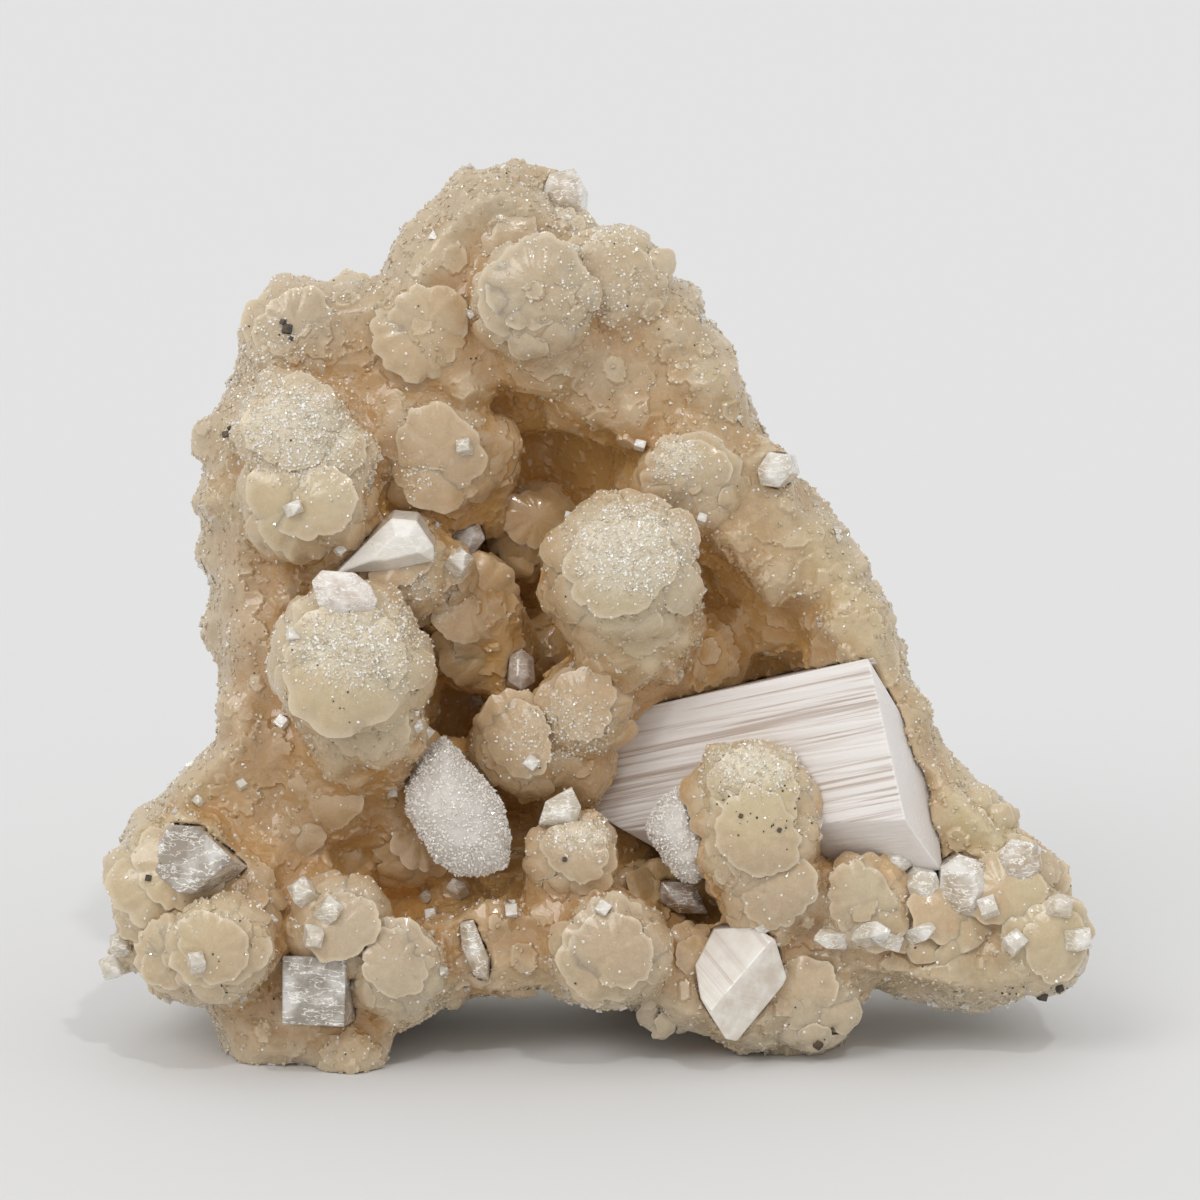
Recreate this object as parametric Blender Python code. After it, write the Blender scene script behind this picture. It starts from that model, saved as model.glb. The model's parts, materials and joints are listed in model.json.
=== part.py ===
# An apophyllite cluster: a hollow crust of cream druse with apophyllite crystals seated in it.
# Everything is placed in the frame of the open face: X to the right, Y into the hollow, Z up.
# The whole is then leaned back, cut flat under its feet and moved to stand on the origin.
import math
import random

import bmesh
import bpy
import numpy as np
from mathutils import Matrix, Vector, noise
from mathutils.bvhtree import BVHTree

# Driving dimensions, in metres
CLUSTER_WIDTH = 0.100
# Room left between a crystal and its socket
SEAT_GAP = 0.0003
# Size of the cells in which core and lumps are fused
FUSE_VOXEL = 0.00085
FACE_LEAN = math.radians(12)
FOOT_LEVEL = 0.00085

# The lists below count in hundredths of the width, from the left foot's level and the middle
UNIT = CLUSTER_WIDTH / 100
CRUST_TRIANGLES = 7850
SEED = 11
# The back is left with fewer faces than the front: from this depth it counts as plain
PLAIN_DEPTH = 24
PLAIN_FACTOR = 0.03
PLAIN_LEAST = 0.3

# Finishes: colour and roughness
CRUST_FINISH = ((0.72, 0.56, 0.36, 1), 0.55)
CLEAR_FINISH = ((0.86, 0.84, 0.82, 1), 0.15)
WHITE_FINISH = ((0.88, 0.86, 0.83, 1), 0.35)

# The outline of the open face, counter-clockwise from the top
OUTLINE = [
    (-11, 91), (-15, 88.5), (-18.5, 84), (-21, 80.5), (-23.5, 78.7), (-29.5, 78), (-33.5, 77),
    (-36, 74), (-36.3, 69.5), (-38.5, 66), (-40, 63.5), (-39.3, 58.5), (-38.8, 52.5), (-38.3, 44.5),
    (-37, 37.5), (-38.8, 32.2), (-43.5, 27.7), (-47.3, 23), (-47.5, 16.7), (-48, 11.7), (-45, 8.4),
    (-39.5, 6), (-37, -1), (-29, -1.5), (-26, 4.2), (-20.5, 4.5), (-14, 6.6), (-7, 7.9), (2, 6),
    (10, 4), (15, 1.5), (24, 3), (26.8, 8.4), (32.5, 7.8), (37, 6.3), (44, 7), (48, 10.7),
    (48.7, 14.7), (45.7, 18.7), (40.7, 24.2), (34.7, 30.2), (32, 36.7), (28.7, 45.2), (25.5, 50.7),
    (19.7, 57.2), (14.2, 63.7), (10.2, 71.7), (5.2, 79.2), (-1, 83.8), (-5.5, 88.6),
]
MIDDLE = (-2, 38)
OUTLINE_STEPS = 120
# The core's surface waves by this much in depth, over this distance
CORE_WAVE = 2.2
CORE_WAVE_LENGTH = 9

# Rings of the core from the middle of its back to the floor of the hollow: share of the outline, depth
BACK_RINGS = [(0.3, 29), (0.62, 27), (0.86, 22), (0.97, 14), (1.0, 6), (0.98, -1), (0.93, -4.5)]
HOLLOW_RINGS = [(1.0, -3.5), (0.9, 3), (0.72, 10.5), (0.4, 14.5)]
HOLLOW_FLOOR = 15.5
# How far out the hollow's edge lies, as shares of the outline to the right, up, left and down
HOLLOW_EDGE = [0.86, 0.66, 0.62, 0.74]

# Lumps of druse on the face, by region: middle (x, z), depth of the middle, radius
LUMPS = {
    "top": [
        (-13, 88.2, 1, 3.0), (-9, 88.7, 2, 3.2), (-5.3, 88.2, 2, 2.6), (-16, 84, 0, 3.4),
        (-10, 83.5, -2, 5.0), (-3.5, 83.5, 0, 3.6), (-19, 81.5, 0, 2.6), (-14.5, 80.5, -3, 3.6),
    ],
    "upper rosettes": [
        (-6.5, 77.0, -9.5, 5.7), (-5.2, 72.6, -6, 4.8), (-17.5, 74.0, -4, 5.4), (-15.2, 69.6, -3.2, 2.6),
        (-11.6, 70.4, -3.4, 2.8), (2, 79.2, -4.5, 5.2), (4.6, 75.8, -3, 3.6), (3.2, 71.0, 4.5, 4.8),
        (-19.5, 78, -1, 3.0), (-30, 73.8, -2.5, 5.6), (-25, 76.2, -1, 3.6), (-33.7, 72, 0, 3.6),
        (-26.8, 69.8, 1.5, 3.8), (-33, 76.5, 1, 2.4),
    ],
    "right rim": [
        (10, 71.4, -1.5, 4.0), (12.6, 66.6, -1, 3.2), (7.8, 76.6, 0, 3.2), (14.6, 63, 0, 2.8),
        (17.2, 60.6, -4, 3.0), (17.6, 56.2, -4, 3.0), (19.6, 56.6, 0, 2.8), (22.6, 53.2, 0, 3.2),
        (25, 49.4, -0.5, 3.2), (27.2, 45.2, 0, 3.0), (28.6, 41, 0, 3.0), (30.2, 36.4, 1, 2.8),
        (32.6, 31.6, 1, 3.0), (35.6, 27.2, 1, 3.2), (39.4, 23.8, 0, 3.4), (43.4, 19.6, 0, 3.4),
    ],
    "left wall": [
        (-30.6, 63.6, -8.5, 5.6), (-34.4, 64.4, -5.5, 3.4), (-26.2, 60.8, -8, 4.4), (-29, 56.8, -8.5, 6.2),
        (-38.6, 63.4, -1, 3.0), (-39, 57.2, 0.5, 2.6), (-36.4, 51.8, 0.5, 4.6), (-36.4, 45, 0.5, 4.4),
        (-32.6, 46.6, 2.5, 4.4), (-30, 50, 4, 3.6), (-34, 38.4, -0.5, 4.8), (-33.6, 31.2, -0.5, 5.0),
        (-25.6, 31.4, -4.5, 5.2), (-27.4, 27.2, -2, 5.0), (-21, 26.8, 0, 4.6), (-30.4, 23.8, -1, 4.6),
        (-36.6, 27.4, 0, 4.0), (-25, 21.2, 2.5, 3.6),
    ],
    "balls in the hollow": [
        (-16, 61.4, -3, 6.0), (-12, 61.8, -1, 4.4), (-13, 57, 2, 3.8), (-19.6, 51, -5, 4.4),
        (-16, 50, -3, 3.6), (-13, 46, 1.5, 5.4), (-11, 42, 4, 4.8), (-24.6, 41.4, -14, 7.4),
        (-23, 34.8, -10, 5.8), (2, 50.2, -11.5, 7.2), (3.4, 45.6, -7.5, 6.6), (4.6, 42.6, -1, 6.0),
        (9, 58.6, -5.5, 5.2), (11.6, 56.2, -2, 5.0), (5, 37.8, 3, 5.0), (10.6, 41.6, 4.5, 4.8),
        (-8, 32.4, -2, 5.0), (-1.6, 36.2, -4, 4.8), (-2.4, 30.4, 0, 4.2), (-6.4, 54.6, 8, 4.6),
        (18.8, 46.8, 3.5, 5.2), (23, 46.6, 0.5, 3.8), (25, 41.6, -1.5, 3.8), (15.6, 51, 2.5, 4.0),
    ],
    "lower left": [
        (-42, 20, -5.5, 6.2), (-45, 23, -1, 3.4), (-45.6, 15.6, -3.5, 3.6), (-37.4, 12.8, -11.5, 5.0),
        (-42, 11.4, -7.5, 4.6), (-36, 17.6, -6, 4.2), (-47.2, 11.6, -1.5, 2.4), (-33.4, 4, -0.5, 4.4),
        (-36, 6, 0, 3.4), (-30, 5, -1, 3.4), (-25.6, 14.8, -8.5, 5.0), (-20.2, 10.4, -8, 4.6),
        (-20.2, 6.6, -5.5, 3.2), (-31.8, 12.4, -3, 4.2),
    ],
    "lower edge": [
        (-14, 10.8, -2.5, 4.0), (-8, 11.2, -2, 3.8), (-3, 9.6, -2, 3.4), (1.2, 12.2, -8.5, 5.4),
        (8.4, 8, -2, 3.8), (-2.6, 22, -5.5, 4.4), (-4.2, 18.6, -3, 3.6), (5, 17.6, 3, 3.6),
        (10, 11, -2, 3.6), (20, 7.4, -2.5, 5.0), (16, 3.8, -2, 3.0), (24, 7.6, -2, 3.2),
    ],
    "ball on the large crystal": [
        (15.2, 27.2, -7, 6.4), (15.6, 23.6, -8, 6.0), (17.4, 18, -6, 5.2), (20, 15.4, -3, 4.8),
    ],
    "behind the left spindle": [
        (-16.5, 28, 2.5, 5.0), (-15, 24.5, 7, 5.4), (-18, 23, 2, 4.6),
    ],
    "lower right": [
        (26, 16.8, -5, 5.0), (36, 23.2, -1, 4.4), (40, 18.4, -2.5, 5.6), (34, 16.2, -3, 4.8),
        (44.6, 12.2, -4, 4.8), (38, 10.6, -1, 4.6), (32, 10.4, 0, 3.8),
    ],
}

# A rosette is a dome with tiers of lobes: share of its radius, depth, lobe size, lobes, sag
DOME = (0.80, 0.56)
TIERS = [(0.72, 0.02, 0.30, 9, 0.0), (0.80, 0.40, 0.30, 9, 0.12), (0.78, 0.85, 0.36, 7, 0.2)]
SMALL_LUMP = 3.5
# Lumps that line the whole hollow behind the others
LINING_LUMPS = 58
LINING_RADII = (3.0, 5.2)
# Lumps over the rim between the hollow and the outline, in rows along the outline
RIM_STEPS = 46
RIM_SPACING = 4.3
RIM_DEPTHS = (-4.2, -2.2)
RIM_RADII = (2.6, 3.8)

# Blocks cut by flat faces: outline from the front, depth of the back, three points of each face
BLOCKS = {
    "large_prism": (
        [
            (26.3, 40.6), (29.2, 36), (32, 31.5), (33.2, 26), (33.7, 20.2), (27, 18.5), (10, 19.5),
            (-0.6, 25.5), (1.6, 33.8), (3.4, 35.5),
        ],
        15,
        [
            [(3.4, 2, 35.5), (26.3, -9, 40.6), (29.9, -9.5, 25.2)],
            [(26.3, -9, 40.6), (29.9, -9.5, 25.2), (31.5, -2, 33.1)],
            [(29.9, -9.5, 25.2), (22.9, -6.2, 24.8), (33.1, -5.1, 20.8)],
        ],
    ),
    "clear_cube": (
        [(-31, 11.4), (-24.4, 11.4), (-24.5, 5.2), (-25.4, 5), (-31, 5.2)],
        -1.5,
        [
            [(-31, -9.4, 11.4), (-25.2, -9.9, 11.4), (-31, -9.4, 5.2)],
            [(-25.2, -9.9, 11.4), (-25.4, -9.9, 5), (-24.3, -4, 11.4)],
        ],
    ),
    "tilted_block": (
        [
            (-42.3, 24.3), (-39.5, 24.1), (-35.2, 20.4), (-37.7, 18.2), (-41.2, 18.2), (-43.7, 20),
            (-43.7, 21.9),
        ],
        -5,
        [
            [(-43.7, -8.5, 21), (-40, -10, 24.1), (-38, -12.5, 19)],
            [(-39.6, -11.7, 18.4), (-36.2, -13, 21.4), (-36.6, -8, 19.4)],
        ],
    ),
    "striated_block": (
        [
            (15.2, 14.1), (17, 13.1), (18.2, 9.4), (17.9, 8.7), (13.4, 3.4), (12.5, 3.7), (10.2, 7.4),
            (9.7, 10.4), (11.5, 13.8),
        ],
        2,
        [
            [(16.2, -8.6, 12.4), (11.6, -9.6, 7.1), (18.2, -6.2, 9.4)],
            [(16.2, -8.6, 12.4), (11.6, -9.6, 7.1), (9.8, -5.5, 10.2)],
        ],
    ),
}
# Rounded crystals under their own druse: outline from the front, depth of the middle, thickness
SPINDLES = {
    "left_spindle": (
        [
            (-15.5, 33.4), (-13.8, 31.5), (-11.1, 28.6), (-9.4, 26.3), (-8.8, 23.3), (-9.1, 20),
            (-11.7, 19.3), (-13.9, 19.2), (-16.4, 20.8), (-17.8, 23.3), (-19.1, 25.4), (-19.4, 28),
            (-18.3, 30.1), (-16.8, 32.4),
        ],
        -5, 5.5,
    ),
    "right_spindle": (
        [
            (8.2, 28.4), (5.8, 26.9), (4.4, 23.8), (6.2, 21), (7.4, 19.1), (9.5, 18.3), (11, 20),
            (11.6, 22), (10.2, 24.6), (8.9, 26.7),
        ],
        -3, 4.5,
    ),
}
# Small crystals: outline from the front, height over the crust
GEMS = {
    "pink_block": (
        [
            (-27.8, 48.4), (-27, 49.3), (-24, 49.1), (-22.5, 47.9), (-21.9, 46.6), (-22.3, 45.7),
            (-25, 45.2), (-27.2, 46.2),
        ],
        2.6,
    ),
    "clear_blade": (
        [
            (-25.5, 49.8), (-21.7, 53.6), (-20.4, 54.8), (-18.2, 54.6), (-16.6, 52.2), (-16.6, 51),
            (-20.9, 50),
        ],
        2.4,
    ),
    "hexagonal_crystal": (
        [(-14.9, 53.1), (-13.5, 54.5), (-12.4, 54.4), (-11.8, 52.9), (-13, 51.3), (-14.6, 51.4)],
        1.4,
    ),
    "pointed_plate": (
        [(-5.8, 24.6), (-5.2, 26.5), (-2.9, 27.8), (-2.1, 26.1), (-2.6, 24.4)],
        1.6,
    ),
    "amber_plate": (
        [(5.9, 16.8), (6.2, 18.3), (9.3, 18.2), (10.4, 15.5), (7.8, 15.6)],
        1.6,
    ),
    "slender_crystal": (
        [(-13.6, 14.4), (-12.6, 14.6), (-11.2, 11), (-11.3, 9.3), (-12.2, 9.5), (-13.3, 12)],
        1.5,
    ),
    "upright_crystal": (
        [(-9, 40.8), (-8, 41.4), (-7, 40.6), (-6.9, 38.4), (-8, 37.7), (-9.1, 38.4)],
        1.6,
    ),
    "glassy_crystal_left": (
        [(28.2, 21), (29.1, 21.9), (30.4, 21.7), (30.8, 20.5), (29.8, 19.5), (28.6, 19.8)],
        1.3,
    ),
    "glassy_crystal_right": (
        [(30.5, 18.6), (31.4, 19.8), (33, 19.6), (33.6, 18.2), (32.6, 16.7), (31, 17)],
        1.4,
    ),
    "pale_block_left": (
        [(34, 20.2), (35.6, 21.3), (37.8, 20.6), (38.6, 18), (37.4, 15.5), (35, 15.3), (33.8, 17.4)],
        2,
    ),
    "pale_block_right": (
        [(39.6, 21.2), (41, 22.7), (43.3, 22.2), (43.5, 20), (42, 18.7), (40.2, 19)],
        1.8,
    ),
    "flashing_crystal": (
        [(16, 59.6), (17, 61.1), (18.6, 60.9), (19, 59.4), (17.8, 58.1), (16.3, 58.3)],
        1.8,
    ),
    "top_plate": (
        [(-5.6, 87.4), (-4.8, 89.2), (-2.6, 89.6), (-1.8, 88), (-2, 85.6), (-4.4, 85)],
        1.6,
    ),
}
# How far a small crystal reaches into the crust, how far it may lean, and the bevel round its top
GEM_SINK = 3
GEM_TILT = math.radians(14)
GEM_BEVEL = 0.6
# A rounded crystal's rings: share of the outline, share of half the thickness
PILLOW_RINGS = [(0.1, -1), (0.5, -0.88), (0.84, -0.52), (1, 0), (0.84, 0.52), (0.5, 0.88), (0.1, 1)]

# Crust on the outer sides, which draw in behind a depth
SIDE_LUMPS = 64
SIDE_DEPTHS = (1, 19)
SIDE_RADII = (2.4, 4.4)
DRAW_IN_DEPTH = 8
DRAW_IN = 0.004
# Broken rock on the back, which falls away from its middle to its edge
BACK_CHUNKS = 34
BACK_SHARE = 0.84
BACK_DEPTH = 24
BACK_FALL = 5.5
CHUNK_RADII = (5, 9)
CHUNK_POINTS = 14
# Feet: middle (x, z), depth, radius. The cut under them makes them flat
FEET = [(-33, 1.5, 2, 5.0), (19.5, 2.5, 6, 6.0), (-26, 5.5, 20, 7.0), (8, 5.5, 22, 8.0), (14, 5.5, 13, 6.0)]


def at(x, y, z):
    """A point of the face's frame, in metres."""
    return Vector((x, y, z)) * UNIT


def outline_reach(angle):
    """Distance from the middle to the outline in one direction."""
    ray = (math.cos(angle), math.sin(angle))
    reach = 0
    for (ax, az), (bx, bz) in zip(OUTLINE, OUTLINE[1:] + OUTLINE[:1]):
        ax, az, bx, bz = ax - MIDDLE[0], az - MIDDLE[1], bx - MIDDLE[0], bz - MIDDLE[1]
        across = ray[0] * (bz - az) - ray[1] * (bx - ax)
        if abs(across) < 1e-9:
            continue
        along_ray = (ax * (bz - az) - az * (bx - ax)) / across
        along_side = (ax * ray[1] - az * ray[0]) / across
        if along_ray > 0 and -1e-6 <= along_side <= 1 + 1e-6:
            reach = max(reach, along_ray)
    return reach


def hollow_share(angle):
    """Where the hollow's edge lies in one direction, as a share of the outline."""
    turn = (angle / (math.pi / 2)) % 4
    side = int(turn) % 4
    blend = turn - int(turn)
    blend = blend * blend * (3 - 2 * blend)
    return HOLLOW_EDGE[side] * (1 - blend) + HOLLOW_EDGE[(side + 1) % 4] * blend


def core_mesh():
    """The body of the cluster: a thick bowl with the outline's shape."""
    angles = [2 * math.pi * step / OUTLINE_STEPS for step in range(OUTLINE_STEPS)]
    rings = [[(share, depth)] * OUTLINE_STEPS for share, depth in BACK_RINGS]
    rings += [[(share * hollow_share(angle), depth) for angle in angles] for share, depth in HOLLOW_RINGS]
    core = bmesh.new()
    made = []
    for ring in rings:
        row = []
        for angle, (share, depth) in zip(angles, ring):
            reach = share * outline_reach(angle)
            spot = Vector((MIDDLE[0] + reach * math.cos(angle), depth, MIDDLE[1] + reach * math.sin(angle)))
            spot.y += CORE_WAVE * noise.noise(spot / CORE_WAVE_LENGTH)
            row.append(core.verts.new(spot * UNIT))
        made.append(row)
    for inner, outer in zip(made, made[1:]):
        for k in range(OUTLINE_STEPS):
            after = (k + 1) % OUTLINE_STEPS
            core.faces.new((inner[k], inner[after], outer[after], outer[k]))
    for row, depth in ((made[0], BACK_RINGS[0][1] + 1), (made[-1], HOLLOW_FLOOR)):
        middle = core.verts.new(at(MIDDLE[0], depth, MIDDLE[1]))
        for k in range(OUTLINE_STEPS):
            core.faces.new((row[k], row[(k + 1) % OUTLINE_STEPS], middle))
    bmesh.ops.recalc_face_normals(core, faces=core.faces)
    return core


def facing_of(x, z):
    """Which way a lump on the face looks: to the viewer, and outwards near the outline."""
    away = Vector((x - MIDDLE[0], 0, z - MIDDLE[1]))
    share = away.length / outline_reach(math.atan2(away.z, away.x))
    outwards = max(0.0, share - 0.72) * 2.2
    return (Vector((0, -1, 0)) + away.normalized() * outwards).normalized()


def rosette_balls(x, z, depth, radius, facing, chance):
    """The balls that make up one lump: middle, radii and turn of each."""
    turn = facing.to_track_quat("Y", "Z").to_matrix()
    middle = Vector((x, depth, z))
    balls = [(middle, Vector((DOME[0], DOME[1], DOME[0])) * radius, turn)]
    for share, behind, size, count, sag in TIERS:
        if radius < SMALL_LUMP:
            count = max(5, count - 3)
        start = chance.uniform(0, 2 * math.pi)
        for k in range(count):
            angle = start + 2 * math.pi * (k + chance.uniform(-0.25, 0.25)) / count
            out = share * radius * chance.uniform(0.9, 1.06)
            back = -behind * radius * chance.uniform(0.75, 1.25)
            lobe = size * radius * chance.uniform(0.85, 1.2)
            spot = turn @ Vector((out * math.cos(angle), back, out * math.sin(angle)))
            spot.z -= sag * radius
            balls.append((middle + spot, Vector((lobe, lobe * 0.8, lobe)), turn))
    return balls


def hollow_depth(share):
    """Depth of the hollow's wall at a share of the way from the middle to its edge."""
    spots = [(0, HOLLOW_FLOOR)] + HOLLOW_RINGS[::-1]
    for (inner, deep), (outer, shallow) in zip(spots, spots[1:]):
        if share <= outer:
            return deep + (shallow - deep) * (share - inner) / (outer - inner)
    return spots[-1][1]


def lining_balls(chance):
    """Lumps over the hollow's wall, laid out on a spiral so that they cover evenly."""
    golden = math.pi * (3 - math.sqrt(5))
    balls = []
    for k in range(LINING_LUMPS):
        share = math.sqrt((k + 0.5) / LINING_LUMPS)
        angle = k * golden
        reach = share * hollow_share(angle) * outline_reach(angle)
        x = MIDDLE[0] + reach * math.cos(angle)
        z = MIDDLE[1] + reach * math.sin(angle)
        radius = chance.uniform(*LINING_RADII)
        inwards = Vector((-math.cos(angle) * share * 0.7, -1, -math.sin(angle) * share * 0.7))
        depth = hollow_depth(share) + chance.uniform(-1.2, 0.6)
        balls += rosette_balls(x, z, depth, radius, inwards.normalized(), chance)
    return balls


def rim_balls(chance):
    """Lumps over the band of crust between the hollow and the outline."""
    balls = []
    for k in range(RIM_STEPS):
        angle = 2 * math.pi * k / RIM_STEPS
        inner = hollow_share(angle) * outline_reach(angle)
        reach = 0.93 * outline_reach(angle) - chance.uniform(0, 1.5)
        while reach > inner - 1:
            spread = angle + chance.uniform(-0.5, 0.5) * 2 * math.pi / RIM_STEPS
            x = MIDDLE[0] + reach * math.cos(spread)
            z = MIDDLE[1] + reach * math.sin(spread)
            depth = chance.uniform(*RIM_DEPTHS)
            balls += rosette_balls(x, z, depth, chance.uniform(*RIM_RADII), facing_of(x, z), chance)
            reach -= RIM_SPACING
    return balls


def side_balls(chance):
    """Lumps all round the outer sides, where the crust turns to the back."""
    balls = []
    for k in range(SIDE_LUMPS):
        angle = 2 * math.pi * (k + chance.uniform(-0.4, 0.4)) / SIDE_LUMPS
        depth = chance.uniform(*SIDE_DEPTHS)
        radius = chance.uniform(*SIDE_RADII)
        drawn_in = 1 - DRAW_IN * max(0, depth - DRAW_IN_DEPTH)
        reach = outline_reach(angle) * drawn_in - 0.75 * radius
        x = MIDDLE[0] + reach * math.cos(angle)
        z = MIDDLE[1] + reach * math.sin(angle)
        away = Vector((math.cos(angle), 0, math.sin(angle)))
        balls += rosette_balls(x, z, depth, radius, away, chance)
    return balls


def unit_ball(detail):
    """Points and faces of a ball of radius 1."""
    ball = bmesh.new()
    bmesh.ops.create_icosphere(ball, subdivisions=detail, radius=1)
    points = np.array([v.co for v in ball.verts])
    faces = np.array([[v.index for v in f.verts] for f in ball.faces])
    ball.free()
    return points, faces


def add_balls(bm, balls, detail):
    """Adds each ball to the mesh as a closed shell of its own."""
    points, faces = unit_ball(detail)
    for middle, radii, turn in balls:
        spots = points * np.array(radii) @ np.array(turn).T + np.array(middle)
        made = [bm.verts.new(Vector(spot) * UNIT) for spot in spots]
        for a, b, c in faces:
            bm.faces.new((made[a], made[b], made[c]))


def add_chunk(bm, middle, radius, chance):
    """Adds one angular piece of broken rock: the hull of points on a ball."""
    hull = bmesh.new()
    for k in range(CHUNK_POINTS):
        way = Vector([chance.gauss(0, 1) for axis in range(3)]).normalized()
        hull.verts.new((Vector(middle) + way * radius * chance.uniform(0.82, 1.05)) * UNIT)
    made = bmesh.ops.convex_hull(hull, input=hull.verts)
    spare = {v for v in made["geom_interior"] + made["geom_unused"] if isinstance(v, bmesh.types.BMVert)}
    bmesh.ops.delete(hull, geom=list(spare), context="VERTS")
    bmesh.ops.recalc_face_normals(hull, faces=hull.faces)
    copies = {v: bm.verts.new(v.co) for v in hull.verts}
    for face in hull.faces:
        bm.faces.new([copies[v] for v in face.verts])
    hull.free()


def add_back_chunks(bm, chance):
    """Broken rock over the back, laid out on a spiral so that it covers evenly."""
    golden = math.pi * (3 - math.sqrt(5))
    for k in range(BACK_CHUNKS):
        share = BACK_SHARE * math.sqrt((k + 0.5) / BACK_CHUNKS)
        angle = k * golden
        reach = share * outline_reach(angle)
        radius = chance.uniform(*CHUNK_RADII)
        x = MIDDLE[0] + reach * math.cos(angle)
        z = MIDDLE[1] + reach * math.sin(angle)
        depth = BACK_DEPTH - BACK_FALL * share * share + chance.uniform(-1.5, 1.5)
        add_chunk(bm, (x, depth, z), radius, chance)


def new_object(name, mesh, look):
    """Links a mesh as a named object with its own material."""
    color, roughness = look
    node = bpy.data.objects.new(name, mesh)
    bpy.context.scene.collection.objects.link(node)
    material = bpy.data.materials.new(name)
    material.use_nodes = True
    finish = material.node_tree.nodes["Principled BSDF"]
    finish.inputs["Base Color"].default_value = color
    finish.inputs["Roughness"].default_value = roughness
    finish.inputs["Metallic"].default_value = 0
    mesh.materials.clear()
    mesh.materials.append(material)
    return node


def mesh_of(bm, name):
    mesh = bpy.data.meshes.new(name)
    bm.to_mesh(mesh)
    bm.free()
    return mesh


def evaluated(node):
    """The object's mesh with its modifiers applied."""
    graph = bpy.context.evaluated_depsgraph_get()
    return bpy.data.meshes.new_from_object(node.evaluated_get(graph))


def apply_modifiers(node):
    node.data = evaluated(node)
    node.modifiers.clear()


def keep_largest_piece(node):
    """Drops crumbs that a cut has left loose."""
    bm = bmesh.new()
    bm.from_mesh(node.data)
    left = set(bm.verts)
    pieces = []
    while left:
        piece = set()
        edge_of_search = [left.pop()]
        while edge_of_search:
            vert = edge_of_search.pop()
            piece.add(vert)
            for edge in vert.link_edges:
                other = edge.other_vert(vert)
                if other in left:
                    left.remove(other)
                    edge_of_search.append(other)
        pieces.append(piece)
    largest = max(pieces, key=len)
    crumbs = [v for v in bm.verts if v not in largest]
    bmesh.ops.delete(bm, geom=crumbs, context="VERTS")
    bm.to_mesh(node.data)
    bm.free()


def crust_node():
    """Core, lumps, sides, back and feet fused into one solid, with few faces."""
    chance = random.Random(SEED)
    bm = core_mesh()
    balls = []
    for region in LUMPS.values():
        for x, z, depth, radius in region:
            balls += rosette_balls(x, z, depth, radius, facing_of(x, z), chance)
    balls += lining_balls(chance)
    balls += rim_balls(chance)
    balls += side_balls(chance)
    for x, z, depth, radius in FEET:
        balls.append((Vector((x, depth, z)), Vector((radius, radius, radius)), Matrix.Identity(3)))
    add_balls(bm, balls, 2)
    add_back_chunks(bm, chance)
    crust = new_object("druse_crust", mesh_of(bm, "druse_crust"), CRUST_FINISH)
    fuse = crust.modifiers.new("fuse", "REMESH")
    fuse.mode = "VOXEL"
    fuse.voxel_size = FUSE_VOXEL
    apply_modifiers(crust)
    keep_largest_piece(crust)
    plain = crust.vertex_groups.new(name="plain")
    for vert in crust.data.vertices:
        turned_away = (1 + vert.normal.y) / 2
        weight = PLAIN_LEAST + turned_away + vert.co.y / UNIT / PLAIN_DEPTH
        plain.add([vert.index], min(1, weight), "REPLACE")
    thin_out = crust.modifiers.new("thin out", "DECIMATE")
    thin_out.ratio = CRUST_TRIANGLES / (2 * len(crust.data.polygons))
    thin_out.vertex_group = plain.name
    thin_out.vertex_group_factor = PLAIN_FACTOR
    apply_modifiers(crust)
    crust.vertex_groups.clear()
    return crust


def outward_walls(outline):
    """Planes along the line of sight through each side of an outline, as a point and a way out."""
    middle = outline_middle(outline)
    walls = []
    for (ax, az), (bx, bz) in zip(outline, outline[1:] + outline[:1]):
        out = Vector((bz - az, 0, ax - bx)).normalized()
        spot = Vector((ax, 0, az))
        if out.dot(spot - middle) < 0:
            out = -out
        walls.append((spot, out))
    return walls


def outline_middle(outline):
    return Vector((sum(x for x, z in outline), 0, sum(z for x, z in outline))) / len(outline)


def block_planes(outline, back, faces):
    """The planes around a block: its outline's walls, its back and its flat faces."""
    inside = outline_middle(outline) + Vector((0, back - 1, 0))
    planes = outward_walls(outline) + [(Vector((0, back, 0)), Vector((0, 1, 0)))]
    for points in faces:
        a, b, c = [Vector(point) for point in points]
        out = (b - a).cross(c - a).normalized()
        if out.dot(a - inside) < 0:
            out = -out
        planes.append((a, out))
    return planes


def solid_between(planes, middle, margin):
    """The solid inside all the planes, each moved out by the margin."""
    bm = bmesh.new()
    bmesh.ops.create_cube(bm, size=0.9 * CLUSTER_WIDTH, matrix=Matrix.Translation(middle * UNIT))
    for spot, out in planes:
        everything = bm.verts[:] + bm.edges[:] + bm.faces[:]
        moved = spot * UNIT + out * margin
        bmesh.ops.bisect_plane(
            bm, geom=everything, dist=1e-8, plane_co=moved, plane_no=out, clear_outer=True
        )
        rim = [edge for edge in bm.edges if edge.is_boundary]
        bmesh.ops.holes_fill(bm, edges=rim, sides=0)
    bmesh.ops.recalc_face_normals(bm, faces=bm.faces)
    return bm


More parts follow.
